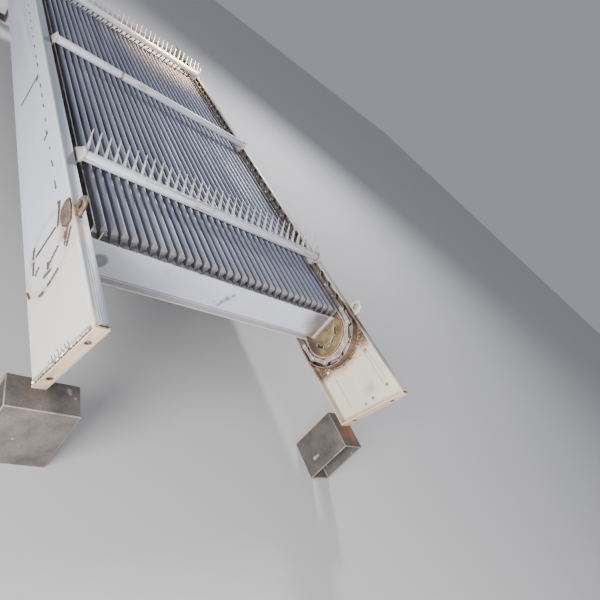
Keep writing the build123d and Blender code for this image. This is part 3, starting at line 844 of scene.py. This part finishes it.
@dataclass
class SideFrames:
    """The two bent channels, their foot plates, welds and marks."""

    edge: float = 0.0012
    bend: float = 0.015
    foot_thick: float = 0.0124
    bead_radius: float = 0.0084
    bead_span: Pair = (0.472, 0.02)
    crack_radius: float = 0.0038
    cracks_aside: tuple[Pair, ...] = ((-0.0084, 0.85), (0.0096, 1.0))
    flick_radius: float = 0.0024
    mark_radius: float = 0.0102
    mark_sink: float = 0.005
    scribe_radius: float = 0.0013
    dash_height: float = 0.381
    dashes: tuple[Pair, ...] = (
        (0.904, 0.954), (1.058, 1.153), (1.275, 1.347), (1.456, 1.501), (1.793, 1.844), (1.98, 2.032),
        (2.131, 2.189), (2.276, 2.345), (2.635, 2.705), (2.791, 2.855), (2.994, 3.063), (3.21, 3.27),
        (3.4, 3.46), (3.59, 3.65), (3.79, 3.85), (4.0, 4.06), (4.19, 4.25), (4.39, 4.45), (4.58, 4.65),
        (4.77, 4.83), (4.96, 5.03))
    strokes: tuple[tuple[Pair, ...], ...] = (
        ((0.799, 0.337), (0.814, 0.124)), ((0.897, 0.124), (0.819, 0.098)),
        ((0.805, 0.105), (0.721, 0.086)), ((0.717, 0.155), (0.7, 0.1)),
        ((0.66, 0.337), (0.633, 0.219)), ((0.665, 0.231), (0.615, 0.224)),
        ((0.589, 0.252), (0.611, 0.171)), ((0.531, 0.313), (0.525, 0.234), (0.53, 0.194)),
        ((0.523, 0.17), (0.544, 0.119)), ((0.675, 0.02), (0.61, 0.039)),
        ((0.66, 0.455), (0.577, 0.391)), ((0.719, 0.451), (0.604, 0.377)),
        ((2.513, 0.11), (2.502, 0.372), (2.449, 0.338)), ((1.633, 0.331), (1.645, 0.373), (1.696, 0.373)),
        ((0.681, 0.409), (0.641, 0.382)), ((0.936, 0.399), (0.779, 0.35)))
    flicks: tuple[Point, ...] = (
        (0.088, 0.312, 0.018), (0.09, 0.29, 0.026), (0.098, 0.262, 0.022), (0.108, 0.236, 0.034),
        (0.113, 0.208, 0.02), (0.122, 0.186, 0.03), (0.128, 0.156, 0.016))
    scribed: tuple[tuple[Pair, ...], ...] = (
        ((0.47, 0.101), (0.142, 0.103)), ((0.53, 0.386), (0.394, 0.394), (0.152, 0.392)),
        ((0.46, 0.408), (0.389, 0.415), (0.157, 0.424)),
        ((0.467, 0.292), (0.448, 0.31), (0.437, 0.338), (0.43, 0.362), (0.421, 0.39)))
    stars: tuple[Point, ...] = (
        (0.438, 0.405, 0.024), (0.147, 0.407, 0.014), (0.145, 0.272, 0.014), (0.149, 0.207, 0.01))

    def plates(self) -> None:
        """The channels with their bends rounded and their edges broken."""
        for side, finish in (("left", FRAME_LEFT), ("right", FRAME_RIGHT)):
            node = side + "_side_frame"
            form = soften(merged_copy(node), self.bend, 5, over=60, mark=False,
                          only=lambda e: e.calc_length() > 1 and
                          all(abs(v.co.x) > SITE.half_width - 1e-4 for v in e.verts))
            piece(soften(form, self.edge, 2, over=50), node + "_bent", finish, [node], smooth=30)
        dress("foot_plates", FOOT_PLATE, self.edge)

    def foot_beads(self) -> None:
        """The welds at the foot plates, with dark lines and flicks along them."""
        lines, cracks = [], []
        for x in (SITE.half_width, SITE.web):
            ends = drawn(x, [(SITE.foot_line(z) + self.foot_thick + 0.003, z) for z in self.bead_span])
            lines.append(bead(ends, self.bead_radius, 0.0045, 0.2, 10, seed=len(lines)))
            for aside, share in self.cracks_aside:
                edge = [point + Vector((0, aside, 0)) for point in ends]
                cracks.append(bead(edge, self.crack_radius * share, 0.012, 0.4, 6, seed=len(cracks)))
        flange = [Vector((x, self.foot_thick, SITE.frame_depth - 0.001)) for x in (0.985, 0.944)]
        cracks.append(bead(flange, self.crack_radius * 1.5, 0.01, sides=6, seed=9))
        for y, z, length in self.flicks:
            start = (SITE.foot_line(z) + self.foot_thick + 0.004, z + 0.004)
            ends = drawn(SITE.half_width - 0.0008, (start, (y + length, z - length * 0.4)))
            cracks.append(bead(ends, self.flick_radius, 0.006, 0.4, 6, seed=int(y * 1000)))
        beads(lines, "foot_weld_beads", WELD)
        beads(cracks, "foot_weld_cracks", CRACK)

    def marks(self) -> None:
        """The plug welds and the burnt strokes on the outside of the webs."""
        x = SITE.half_width - self.mark_sink
        lines = []
        for start, end in self.dashes:
            ends = drawn(x, ((start, self.dash_height), (end, self.dash_height - 0.002)))
            lines.append(bead(ends, self.mark_radius * 0.75, 0.009, seed=len(lines)))
        for stroke in self.strokes:
            lines.append(bead(drawn(x, stroke), self.mark_radius, 0.009, 0.14, seed=len(lines)))
        beads(lines, "web_plug_welds", BURN)

    def scribing(self) -> None:
        """The setting-out lines and stars inside the webs and along the flanges."""
        paths = [drawn(SITE.web, path) for path in self.scribed]
        for inset, end in ((0.024, 0.62), (0.034, 0.5)):
            height = SITE.frame_depth - 0.0004
            paths.append(drawn(SITE.half_width - inset, ((0.016, height), (end, height))))
        lines = [bead(path, self.scribe_radius, 0.05, sides=6) for path in paths]
        for y, z, reach in self.stars:
            for turn in (20, 75, 140):
                arm = Vector((0, math.cos(math.radians(turn)), math.sin(math.radians(turn)))) * reach
                centre = Vector((SITE.web, y, z))
                lines.append(bead([centre - arm, centre + arm], self.scribe_radius, 0.01, sides=6))
        beads(lines, "scribed_lines", SCRIBE)

    def build(self) -> None:
        """All of it."""
        self.plates()
        self.foot_beads()
        self.marks()
        self.scribing()


@dataclass
class LiftingEyes:
    """The four eyes on the upper flanges, each a thick ring on a foot."""

    round_edge: float = 0.0084
    bead_radius: float = 0.006
    line: float = 0.98
    half_thick: float = 0.009
    half_wide: float = 0.046
    places: Pair = (0.728, 4.92)
    tail_thick: float = 0.006
    tail: tuple[Pair, ...] = (
        (-0.036, 0.462), (0.05, 0.481), (0.112, 0.479), (0.13, 0.45), (0.118, 0.402), (0.07, 0.382),
        (0.01, 0.392), (-0.03, 0.42))

    def tails(self) -> None:
        """The doubler plates on the webs below the eyes, with a bead round each."""
        plates, lines = [], []
        face = SITE.half_width
        for place in self.places:
            outline = [(place + y, z) for y, z in self.tail]
            plates.append(soften(prism(outline, face - 0.001, face + self.tail_thick), 0.0015, 2))
            loop = drawn(face, outline + outline[:1])
            lines.append(bead(loop, self.bead_radius * 0.8, 0.005, seed=int(place * 7)))
        piece(mirrored(joined(plates)), "eye_doubler_plates", EYE_DARK)
        beads(lines, "eye_doubler_beads", CRACK)

    def build(self) -> None:
        """The eyes of each side, and the beads at their feet."""
        self.tails()
        for side, way, finish in (("left", -1, EYE_DARK), ("right", 1, EYE_PALE)):
            form = merged_copy("lifting_eyes")
            away = [vert for vert in form.verts if vert.co.x * way < 0]
            bmesh.ops.delete(form, geom=away, context="VERTS")
            soften(form, self.round_edge, 4, over=50, mark=False)
            piece(form, side + "_lifting_eyes", finish, ["lifting_eyes"], smooth=50)
        lines = []
        for place in self.places:
            loop = [Vector((self.line + u * self.half_thick, place + v * self.half_wide, SITE.frame_depth))
                    for u, v in ((-1, -1), (1, -1), (1, 1), (-1, 1), (-1, -1))]
            lines.append(bead(loop, self.bead_radius, seed=int(place * 10)))
        beads(lines, "eye_weld_beads", HOOP_WELD)


@dataclass
class BarRack:
    """The parallel bars with their blunt noses, and the flat guard bars beside them."""

    width: float = 0.034
    tip: float = 0.004
    shoulder: float = 0.02
    nose_flat: float = 0.011
    cheek_width: float = 0.028
    cheek_drop: float = 0.008
    corner: float = 0.0015
    end_cut: float = 0.014
    cut_lean: float = 0.5
    seat_bead: float = 0.0036
    seat_steps: int = 170
    seat_ahead: float = 0.0105

    def bar(self) -> Mesh:
        """A bar with rounded corners, its nose cut back at the near end.

        Returns:
            The pattern of a bar in the rack's middle.
        """
        start, seat, top = SITE.rack_start, SITE.rack_seat, SITE.rack_top
        half = [(self.tip / 2, seat), (self.width / 2, top - self.shoulder),
                (self.cheek_width / 2, top - self.cheek_drop), (self.nose_flat / 2, top)]
        section = half + [(-x, z) for x, z in reversed(half)]
        form = extruded([(x, start, z) for x, z in section], (0, SITE.rack_end - start, 0))
        cut = bmesh.ops.bisect_plane(form, geom=form.verts[:] + form.edges[:] + form.faces[:],
                                     plane_co=(0, start, top - self.end_cut),
                                     plane_no=(-self.cut_lean, -1, 1), clear_outer=True)
        rim = [item for item in cut["geom_cut"] if isinstance(item, BMEdge)]
        bmesh.ops.holes_fill(form, edges=rim, sides=0)
        bmesh.ops.recalc_face_normals(form, faces=form.faces)
        soften(form, self.corner, 2, over=20, mark=False,
               only=lambda e: abs(e.verts[0].co.x - e.verts[1].co.x) < 1e-5
               and abs(e.verts[0].co.y - e.verts[1].co.y) > 1)
        near = start + 2 * self.end_cut
        soften(form, self.corner * 0.8, 1, over=20, only=lambda e: all(v.co.y < near for v in e.verts))
        return pattern(form)

    def bars(self) -> None:
        """The bars, in the three nodes that the frame has."""
        shape = self.bar()
        count, third = SITE.bar_count, SITE.bar_count // 3
        ends = (0, third, count - third, count)
        for side, first, last in zip(("left", "middle", "right"), ends, ends[1:]):
            whole = bmesh.new()
            for index in range(first, last):
                stamp(whole, shape, shift(SITE.across(index), 0, 0))
            piece(whole, side + "_bars", RACK_BAR, [side + "_rack_bars"], smooth=24)

    def seat_dirt(self) -> None:
        """A rough dark line of lumps along the beam under the bars' ends: painted shade in the joint there.
        """
        chance = random.Random(31)
        edge = SITE.rack_start - self.seat_ahead
        reach = SITE.across(SITE.bar_count - 1) + 0.03
        seat = SITE.rack_seat
        path = [Vector(((i / self.seat_steps * 2 - 1) * reach, edge + 0.0085 + chance.uniform(-0.002, 0.003),
                        seat + chance.uniform(-0.004, -0.0005))) for i in range(self.seat_steps + 1)]
        whole = joined([bead(path, self.seat_bead, 0.01, 0.5, 7, seed=4)])
        shape = drop()
        for index in range(SITE.bar_count):
            for _ in range(3):
                at = shift(SITE.across(index) + chance.uniform(-0.02, 0.02),
                           edge + chance.uniform(0.002, 0.012), seat + chance.uniform(-0.001, 0.004))
                size = chance.uniform(0.0025, 0.005)
                stamp(whole, shape, at @ Matrix.Diagonal((size * chance.uniform(1.0, 1.8), size, size, 1)))
        piece(whole, "rack_seat_dirt", DIRT, smooth=ROUND)

    def build(self) -> None:
        """All of it."""
        self.bars()
        self.seat_dirt()
        dress("rack_side_bars", SIDE_BAR, 0.0012)


@dataclass
class RackBeams:
    """The bent beam under the bars' near ends, and the cross flats along the rack."""

    bend: float = 0.006
    stud_radius: float = 0.0034
    stud_length: float = 0.05
    stud_places: Pair = (-0.878, -0.824)

    def build(self) -> None:
        """The beams with their bends rounded, and two short studs by the left bars."""
        form = soften(merged_copy("bottom_beam"), self.bend, 3, over=60)
        piece(form, "bottom_beam_bent", BEAM, ["bottom_beam"])
        dress("beam_end_flats", END_FLAT, 0.0015)
        dress("rack_cross_flats", RACK_FLAT, 0.0012)
        whole = bmesh.new()
        shape = pattern(soften(rod(self.stud_radius, self.stud_length, 12), 0.0006, 1))
        for x in self.stud_places:
            at = shift(x, SITE.rack_start - 0.005, SITE.rack_seat + self.stud_length / 2)
            stamp(whole, shape, at @ Matrix.Rotation(math.pi / 2, 4, "Y"))
        piece(whole, "rack_studs", SPATTER)


@dataclass
class ChainGuides:
    """The rails, hoops and discs on the webs, with the welds and spatter round them."""

    outer_radius: float = 0.23775
    inner_radius: float = 0.174
    face: float = 0.928
    spatter_count: int = 420
    spatter_reach: float = 0.035
    spatter_margin: float = 0.012
    lumps: tuple[Point, ...] = (
        (0.522, 0.071, 0.0105), (0.506, 0.319, 0.0085), (0.573, 0.419, 0.0095), (0.53, 0.09, 0.006),
        (0.498, 0.30, 0.006), (0.487, 0.215, 0.005))

    def flats(self) -> None:
        """The rails, hoops, stays and discs with their edges broken."""
        for node in ("front_chain_rails", "return_chain_rails", "inner_chain_hoops", "disc_stays"):
            dress(node, GUIDE, 0.001, 1)
        dress("outer_chain_hoops", HOOP, 0.001, 1)
        dress("guide_discs", DISC, 0.0012)

    def hoop_beads(self) -> None:
        """The beads that hold the hoops to the webs and the discs to the hoops."""
        rows = ((SITE.web, self.outer_radius + 0.002, 110, 250, 0.0048, 1),
                (SITE.web, self.inner_radius - 0.014, 95, 265, 0.004, 1),
                (self.face, self.inner_radius - 0.012, 92, 268, 0.003, 5))
        beads([bead(arc((x, SITE.lower_turn, SITE.mid), radius, start, end), thick, seed=seed)
               for x, radius, start, end, thick, seed in rows], "hoop_weld_beads", HOOP_WELD)

    def spatter(self) -> None:
        """Bright drops on the web round the outer hoop."""
        chance = random.Random(77)
        shape = drop()
        whole = bmesh.new()
        for _ in range(self.spatter_count):
            angle = math.radians(chance.uniform(95, 265))
            away = self.outer_radius + 0.008 + abs(chance.gauss(0, self.spatter_reach))
            y = SITE.lower_turn + away * math.cos(angle)
            z = SITE.mid + away * math.sin(angle)
            if not self.spatter_margin < z < SITE.frame_depth - self.spatter_margin:
                continue
            size = chance.uniform(0.0008, 0.0026)
            stamp(whole, shape, shift(SITE.web, y, z) @ Matrix.Diagonal((size * 0.6, size, size, 1)))
        for y, z, size in self.lumps:
            for turn in (0, 2, 4):
                at = shift(SITE.web, y + 0.5 * size * math.cos(turn), z + 0.5 * size * math.sin(turn))
                stamp(whole, shape, at @ Matrix.Diagonal((size * 0.5, size * 0.8, size * 0.7, 1)))
        piece(mirrored(whole), "weld_spatter", SPATTER, smooth=ROUND)

    def build(self) -> None:
        """All of it."""
        self.flats()
        self.hoop_beads()
        self.spatter()


@dataclass
class ChainLoop:
    """Two endless chains of rollers and waisted link plates, one on each side."""

    link_height: float = 0.031
    waist: float = 0.78
    plate: float = 0.005
    roller_radius: float = 0.026
    roller_width: float = 0.03
    pin_radius: float = 0.0095
    pin_length: float = 0.058

    @property
    def end_step(self) -> float:
        """How far a straight run starts from its turn's centre line."""
        rise = SITE.turn_radius * (1 - math.cos(math.radians(90 / SITE.turn_links)))
        return math.sqrt(SITE.pitch ** 2 - rise ** 2) - SITE.pitch / 2

    def pin(self, link: int) -> Vector:
        """The pin at the start of a right link, counted from the lower turn up the front.

        Args:
            link: The link's number, which may pass the loop's end.

        Returns:
            The pin's middle.
        """
        lap, step = divmod(link % (2 * SITE.half_loop), SITE.half_loop)
        if step <= SITE.straight_links:
            along = SITE.lower_turn + self.end_step + step * SITE.pitch
            if lap:
                along = SITE.head - self.end_step - step * SITE.pitch
            height = -SITE.turn_radius if lap else SITE.turn_radius
            return Vector((SITE.chain_line, along, SITE.mid + height))
        angle = math.radians(90 + 180 * lap - (step - SITE.straight_links - 0.5) * 180 / SITE.turn_links)
        centre = SITE.lower_turn if lap else SITE.head
        return Vector((SITE.chain_line, centre + SITE.turn_radius * math.cos(angle),
                       SITE.mid + SITE.turn_radius * math.sin(angle)))

    def plate_shape(self) -> Mesh:
        """A link plate from its first pin along +Y, round-ended and waisted.

        Returns:
            The pattern.
        """
        half = self.link_height / 2
        pinch = half * self.waist
        outline = [(-half, -half), (SITE.pitch / 2, -pinch), (SITE.pitch + half, -half),
                   (SITE.pitch + half, half), (SITE.pitch / 2, pinch), (-half, half)]
        form = prism(outline, -self.plate / 2, self.plate / 2)
        soften(form, half * 0.8, 3, mark=False, over=60,
               only=lambda e: abs(e.verts[0].co.x - e.verts[1].co.x) > 1e-4)
        return pattern(soften(form, 0.0009, 1, over=60))

    def stretch(self, first: int, last: int) -> tuple[BMesh, BMesh]:
        """The right chain's plates with pins, and rollers, of some links.

        Args:
            first: The first link.
            last: The link after the last.

        Returns:
            The plates, and the rollers.
        """
        plate = self.plate_shape()
        roller = pattern(soften(rod(self.roller_radius, self.roller_width, 20), 0.002, 1))
        pin = pattern(soften(rod(self.pin_radius, self.pin_length, 12), 0.0015, 1))
        inner = self.roller_width / 2 + self.plate / 2
        plates, rollers = bmesh.new(), bmesh.new()
        for link in range(first, last):
            start, end = self.pin(link), self.pin(link + 1)
            way = end - start
            turn = Matrix.Rotation(math.atan2(way.z, way.y), 4, "X")
            offset = inner + (self.plate if link % 2 == 0 else 0.0)
            for side in (-offset, offset):
                stamp(plates, plate, Matrix.Translation(start) @ shift(side, 0, 0) @ turn)
            stamp(plates, pin, Matrix.Translation(start))
            for spot in ((start, end) if link % 2 else ()):
                stamp(rollers, roller, Matrix.Translation(spot))
        return plates, rollers

    def build(self) -> None:
        """The eight stretches of chain, each standing for its node."""
        run, half = SITE.straight_links, SITE.half_loop
        # The lower turn takes the painted-light chain, the rest the painted-shade copy.
        stretches = {"front_run": (0, run, CHAIN_RUN), "upper_turn": (run, half, CHAIN_RUN),
                     "return_run": (half, half + run, CHAIN_RUN),
                     "lower_turn": (half + run, 2 * half, CHAIN)}
        for name, (first, last, finish) in stretches.items():
            plates, rollers = (pattern(form) for form in self.stretch(first, last))
            for side, way in (("right", 1), ("left", -1)):
                node = f"{side}_chain_{name}"
                for shape, suffix, metal in ((plates, "links", finish), (rollers, "rollers", ROLLER)):
                    whole = bmesh.new()
                    stamp(whole, shape, Matrix.Scale(way, 4, Vector((1, 0, 0))))
                    piece(whole, f"{node}_{suffix}", metal, [node])


@dataclass(frozen=True)
class Arm:
    """A claw's arm: its widths at the root and end, its length and its angle in degrees."""

    root: float
    end: float
    length: float
    angle: float


@dataclass
class Rake:
    """A tube from chain to chain on two brackets, with a claw in each gap or none."""

    node: str
    link: int
    toothed: bool
    loop: ChainLoop
    splice: float | None = None
    tube_radius: float = 0.031
    rise: float = 0.028
    lag: float = 0.088
    reach: float = 0.92
    root_thick: float = 0.012
    end_share: float = 0.4
    spike: Arm = Arm(0.034, 0.003, 0.152, 50.0)
    finger: Arm = Arm(0.03, 0.016, 0.15, -44.0)
    tack: float = 0.0055
    cheek: float = 0.043
    end_spike: float = 0.896
    ring_gap: float = 0.011

    def placing(self) -> Matrix:
        """The tube's axis, the right way up or upside down.

        Returns:
            A matrix from the tube's own places to the layout's.
        """
        start, end = self.loop.pin(self.link), self.loop.pin(self.link + 1)
        middle = (start.y + end.y) / 2
        above = SITE.frame_depth + self.rise - SITE.mid
        if start.z > SITE.mid:
            return shift(0, middle - self.lag, SITE.mid + above)
        return shift(0, middle + self.lag, SITE.mid - above) @ Matrix.Rotation(math.pi, 4, "X")

    def arm(self, kind: Arm) -> Mesh:
        """One arm of a claw, which narrows to its end.

        Args:
            kind: The arm's sizes.

        Returns:
            The pattern, which starts at the tube's axis.
        """
        outline = [(0, -kind.root / 2), (kind.length, -kind.end / 2), (kind.length, kind.end / 2),
                   (0, kind.root / 2)]
        form = prism(outline, -self.root_thick / 2, self.root_thick / 2)
        far = [vert for vert in form.verts if vert.co.y > kind.length / 2]
        bmesh.ops.scale(form, verts=far, vec=(self.end_share, 1, 1))
        soften(form, 0.0012, 1)
        turn = Matrix.Rotation(math.radians(kind.angle), 3, "X")
        bmesh.ops.rotate(form, verts=form.verts, matrix=turn)
        return pattern(form)

    def claws(self, kind: Arm) -> BMesh:
        """The arms of one kind along the tube, with tack welds at their roots.

        Args:
            kind: The arms' sizes.

        Returns:
            A new mesh, in the tube's own places.
        """
        arm = self.arm(kind)
        chance = random.Random(self.link)
        ball = bmesh.new()
        bmesh.ops.create_uvsphere(ball, u_segments=8, v_segments=5, radius=self.tack)
        tack = pattern(ball)
        whole = bmesh.new()
        turn = Matrix.Rotation(math.radians(kind.angle), 4, "X")
        for step in range(SITE.bar_count + 1):
            x = SITE.across(step - 0.5)
            lean = Matrix.Rotation(math.radians(chance.uniform(-1.2, 1.2)), 4, "Z")
            stamp(whole, arm, shift(x, 0, 0) @ lean)
            for side in (-self.tack, self.tack):
                spot = shift(x + side, 0, 0) @ turn @ shift(0, self.tube_radius, 0)
                stamp(whole, tack, spot @ Matrix.Diagonal((0.8, 0.9, 2.0, 1)))
        for x in ((-self.end_spike, self.end_spike) if kind == self.spike else ()):
            stamp(whole, arm, shift(x, 0, 0))
        return whole

    def bracket(self) -> BMesh:
        """The right bracket: a hexagon round the tube's end, and an arm to its link.

        Returns:
            A new mesh, in the tube's own places.
        """
        foot = SITE.turn_radius - 0.02 - (SITE.frame_depth + self.rise - SITE.mid)
        outline = [(0.02, foot), (0.157, foot), (0.157, foot + 0.04)]
        outline += [(self.cheek * y, self.cheek * z) for y, z in
                    ((0.9, 0.5), (0.3, 1), (-0.45, 0.9), (-0.85, 0), (-0.6, -0.85), (0, -1))]
        return soften(prism(outline, self.reach - 0.012, self.reach), 0.0015, 2)

    def rings(self, places: Iterable[float], radius: float) -> list[BMesh]:
        """Welds round the tube at places along it."""
        return [bead(arc((x, 0, 0), self.tube_radius, 0, 360, 8), radius, seed=self.link) for x in places]

    def build(self) -> None:
        """The rake in its place on the chain."""
        placing = self.placing()
        finish = TUBE_BURNT if self.node == "lower_toothed_rake" else TUBE
        bar = soften(rod(self.tube_radius, 2 * self.reach - 0.004, 48), 0.0015, 2)
        ends = self.rings((-self.reach + 0.015, self.reach - 0.015), 0.004)
        made = [(joined([bar, *ends]), "_tube", finish), (mirrored(self.bracket()), "_brackets", BRACKET)]
        if self.toothed:
            made += [(self.claws(self.spike), "_spikes", TOOTH),
                     (self.claws(self.finger), "_fingers", FINGER)]
        if self.splice is not None:
            rings = self.rings((self.splice, self.splice + self.ring_gap), 0.0034)
            made.append((joined(rings), "_splice_weld", BURN))
        for form, suffix, finish in made:
            bmesh.ops.transform(form, matrix=placing, verts=form.verts)
            piece(form, self.node + suffix, finish, [self.node])


@dataclass
class HeadGear:
    """The head shaft with its sprockets and bearings, the apron and the tie beam."""

    bolt_radius: float = 0.012
    bolt_head: float = 0.009
    washer: float = 0.002
    bearing_pitch: float = 0.07
    plate_face: float = 1.018
    cap: Point = (0.028, 0.004, 1.0625)

    def bolts(self) -> None:
        """Four hexagon bolts on washers in each bearing."""
        head = soften(rod(self.bolt_radius, self.bolt_head, 6), 0.0012, 1)
        bmesh.ops.translate(head, verts=head.verts, vec=(self.bolt_head / 2 + self.washer, 0, 0))
        washer = rod(self.bolt_radius * 1.35, self.washer, 16)
        bmesh.ops.translate(washer, verts=washer.verts, vec=(self.washer / 2, 0, 0))
        shape = pattern(joined([head, washer]))
        whole = bmesh.new()
        for y in (SITE.head - self.bearing_pitch, SITE.head + self.bearing_pitch):
            for z in (SITE.mid - self.bearing_pitch, SITE.mid + self.bearing_pitch):
                stamp(whole, shape, shift(self.plate_face, y, z))
        piece(mirrored(whole), "bearing_bolts", BOLT)

    def build(self) -> None:
        """All of it, with round caps on the ends of the shaft."""
        for node, finish, width, segments in (
                ("head_shaft", SHAFT, 0.003, 2), ("right_head_sprocket", SPROCKET, 0.0015, 1),
                ("left_head_sprocket", SPROCKET, 0.0015, 1), ("shaft_bearings", CASTING, 0.003, 2),
                ("discharge_apron", HEAD_PLATE, 0.0015, 2), ("head_beam", HEAD_PLATE, 0.0025, 2)):
            dress(node, finish, width, segments)
        self.bolts()
        radius, thick, place = self.cap
        form = soften(rod(radius, thick, 24), 0.001, 1)
        bmesh.ops.translate(form, verts=form.verts, vec=(place, SITE.head, SITE.mid))
        piece(mirrored(form), "shaft_end_caps", BOLT)


@dataclass
class Stools:
    """The lengths of rusty box section that the frames lie on."""

    corner: float = 0.004

    def build(self) -> None:
        """The four stools with the corners of their section rounded."""
        for side, finish in (("left", STOOL), ("right", STOOL_DULL)):
            for place in ("near", "far"):
                dress(f"{place}_{side}_stool", finish, self.corner, 3)


# The studio


@dataclass(frozen=True)
class Lamp:
    """A soft square lamp that points at a place."""

    name: str
    place: Point
    target: Point
    size: float
    power: float
    colour: Point
    spread: float = math.pi

    def build(self) -> None:
        """The lamp in the scene."""
        data = bpy.data.lights.new(self.name, "AREA")
        data.shape, data.size, data.energy = "SQUARE", self.size, self.power
        data.color, data.spread = self.colour, self.spread
        made = placed(self.name, data)
        made.location = self.place
        way = Vector(self.target) - Vector(self.place)
        made.rotation_euler = way.to_track_quat("-Z", "Y").to_euler()


@dataclass(frozen=True)
class View:
    """The photograph's camera, its lens centre above the picture's middle."""

    place: Point = (-1.7872, -4.3441, 2.0250)
    right: Point = (0.68875, -0.38917, 0.61169)
    down: Point = (0.27516, -0.64027, -0.71717)
    forward: Point = (0.67075, 0.66227, -0.33390)
    focal: float = 523.26
    picture: float = 600.0
    centre_rise: float = 29.0
    sensor: float = 36.0

    def build(self) -> None:
        """The camera, set as the scene's own."""
        data = bpy.data.cameras.new("view")
        data.sensor_fit = "HORIZONTAL"
        data.sensor_width = self.sensor
        data.lens = self.focal / self.picture * self.sensor
        data.shift_y = -self.centre_rise / self.picture
        data.clip_end = 100
        made = placed("view", data)
        turn = Matrix((self.right, -Vector(self.down), -Vector(self.forward))).transposed()
        made.matrix_world = Matrix.Translation(self.place) @ turn.to_4x4()
        bpy.context.scene.camera = made


@dataclass(frozen=True)
class Studio:
    """A plain pale floor, a soft sky and large lamps."""

    floor_size: float = 60.0
    floor_colour: int = 0xCECCCC
    floor_roughness: float = 0.8
    sky: Point = (0.66, 0.70, 0.78)
    sky_strength: float = 0.45
    lamps: tuple[Lamp, ...] = (
        Lamp("near_window", (-6.4, -6.6, 2.3), (0, -1.5, 0.5), 4.0, 1400.0, (1.0, 0.985, 0.97)),
        Lamp("near_fill", (0.3, -8.2, 2.2), (0, -1.5, 0.5), 3.5, 180.0, (0.98, 0.985, 1.0)),
        Lamp("roof_light", (4.2, 5.2, 5.4), (0, 0.0, 0.7), 1.0, 640.0, (0.95, 0.96, 1.0)),
        Lamp("far_sun", (1.15, 2.0, 2.3), (0.62, 1.80, 0.9), 0.6, 30.0, (1.0, 0.68, 0.34), 0.7))

    def floor(self) -> None:
        """The floor, which belongs to the stage."""
        form = bmesh.new()
        bmesh.ops.create_grid(form, x_segments=1, y_segments=1, size=self.floor_size / 2)
        mesh = pattern(form, "floor")
        made = bpy.data.materials.new("floor_paint")
        made.use_nodes = True
        shader = made.node_tree.nodes["Principled BSDF"].inputs
        shader["Base Color"].default_value = (*tone(self.floor_colour), 1)
        shader["Roughness"].default_value = self.floor_roughness
        mesh.materials.append(made)
        placed("floor", mesh)

    def build(self) -> None:
        """The floor, the sky and the lamps."""
        self.floor()
        world = bpy.data.worlds.new("studio")
        world.use_nodes = True
        sky = world.node_tree.nodes["Background"].inputs
        sky[0].default_value = (*self.sky, 1)
        sky[1].default_value = self.sky_strength
        bpy.context.scene.world = world
        for lamp in self.lamps:
            lamp.build()


def main() -> None:
    """Builds all of it."""
    logging.basicConfig(level=logging.INFO, format="%(message)s")
    loop = ChainLoop()
    rakes = (
        Rake("lower_toothed_rake", 4, True, loop),
        Rake("middle_plain_rake", 18, False, loop, -0.384),
        Rake("upper_toothed_rake", 32, True, loop),
        Rake("return_upper_plain_rake", 46, False, loop, 0.384),
        Rake("return_middle_toothed_rake", 60, True, loop),
        Rake("return_lower_plain_rake", 74, False, loop, 0.384),
    )
    for part in (View(), Studio(), SideFrames(), LiftingEyes(), BarRack(), RackBeams(), ChainGuides(), loop,
                 *rakes, HeadGear(), Stools()):
        part.build()


if __name__ == "__main__":
    main()
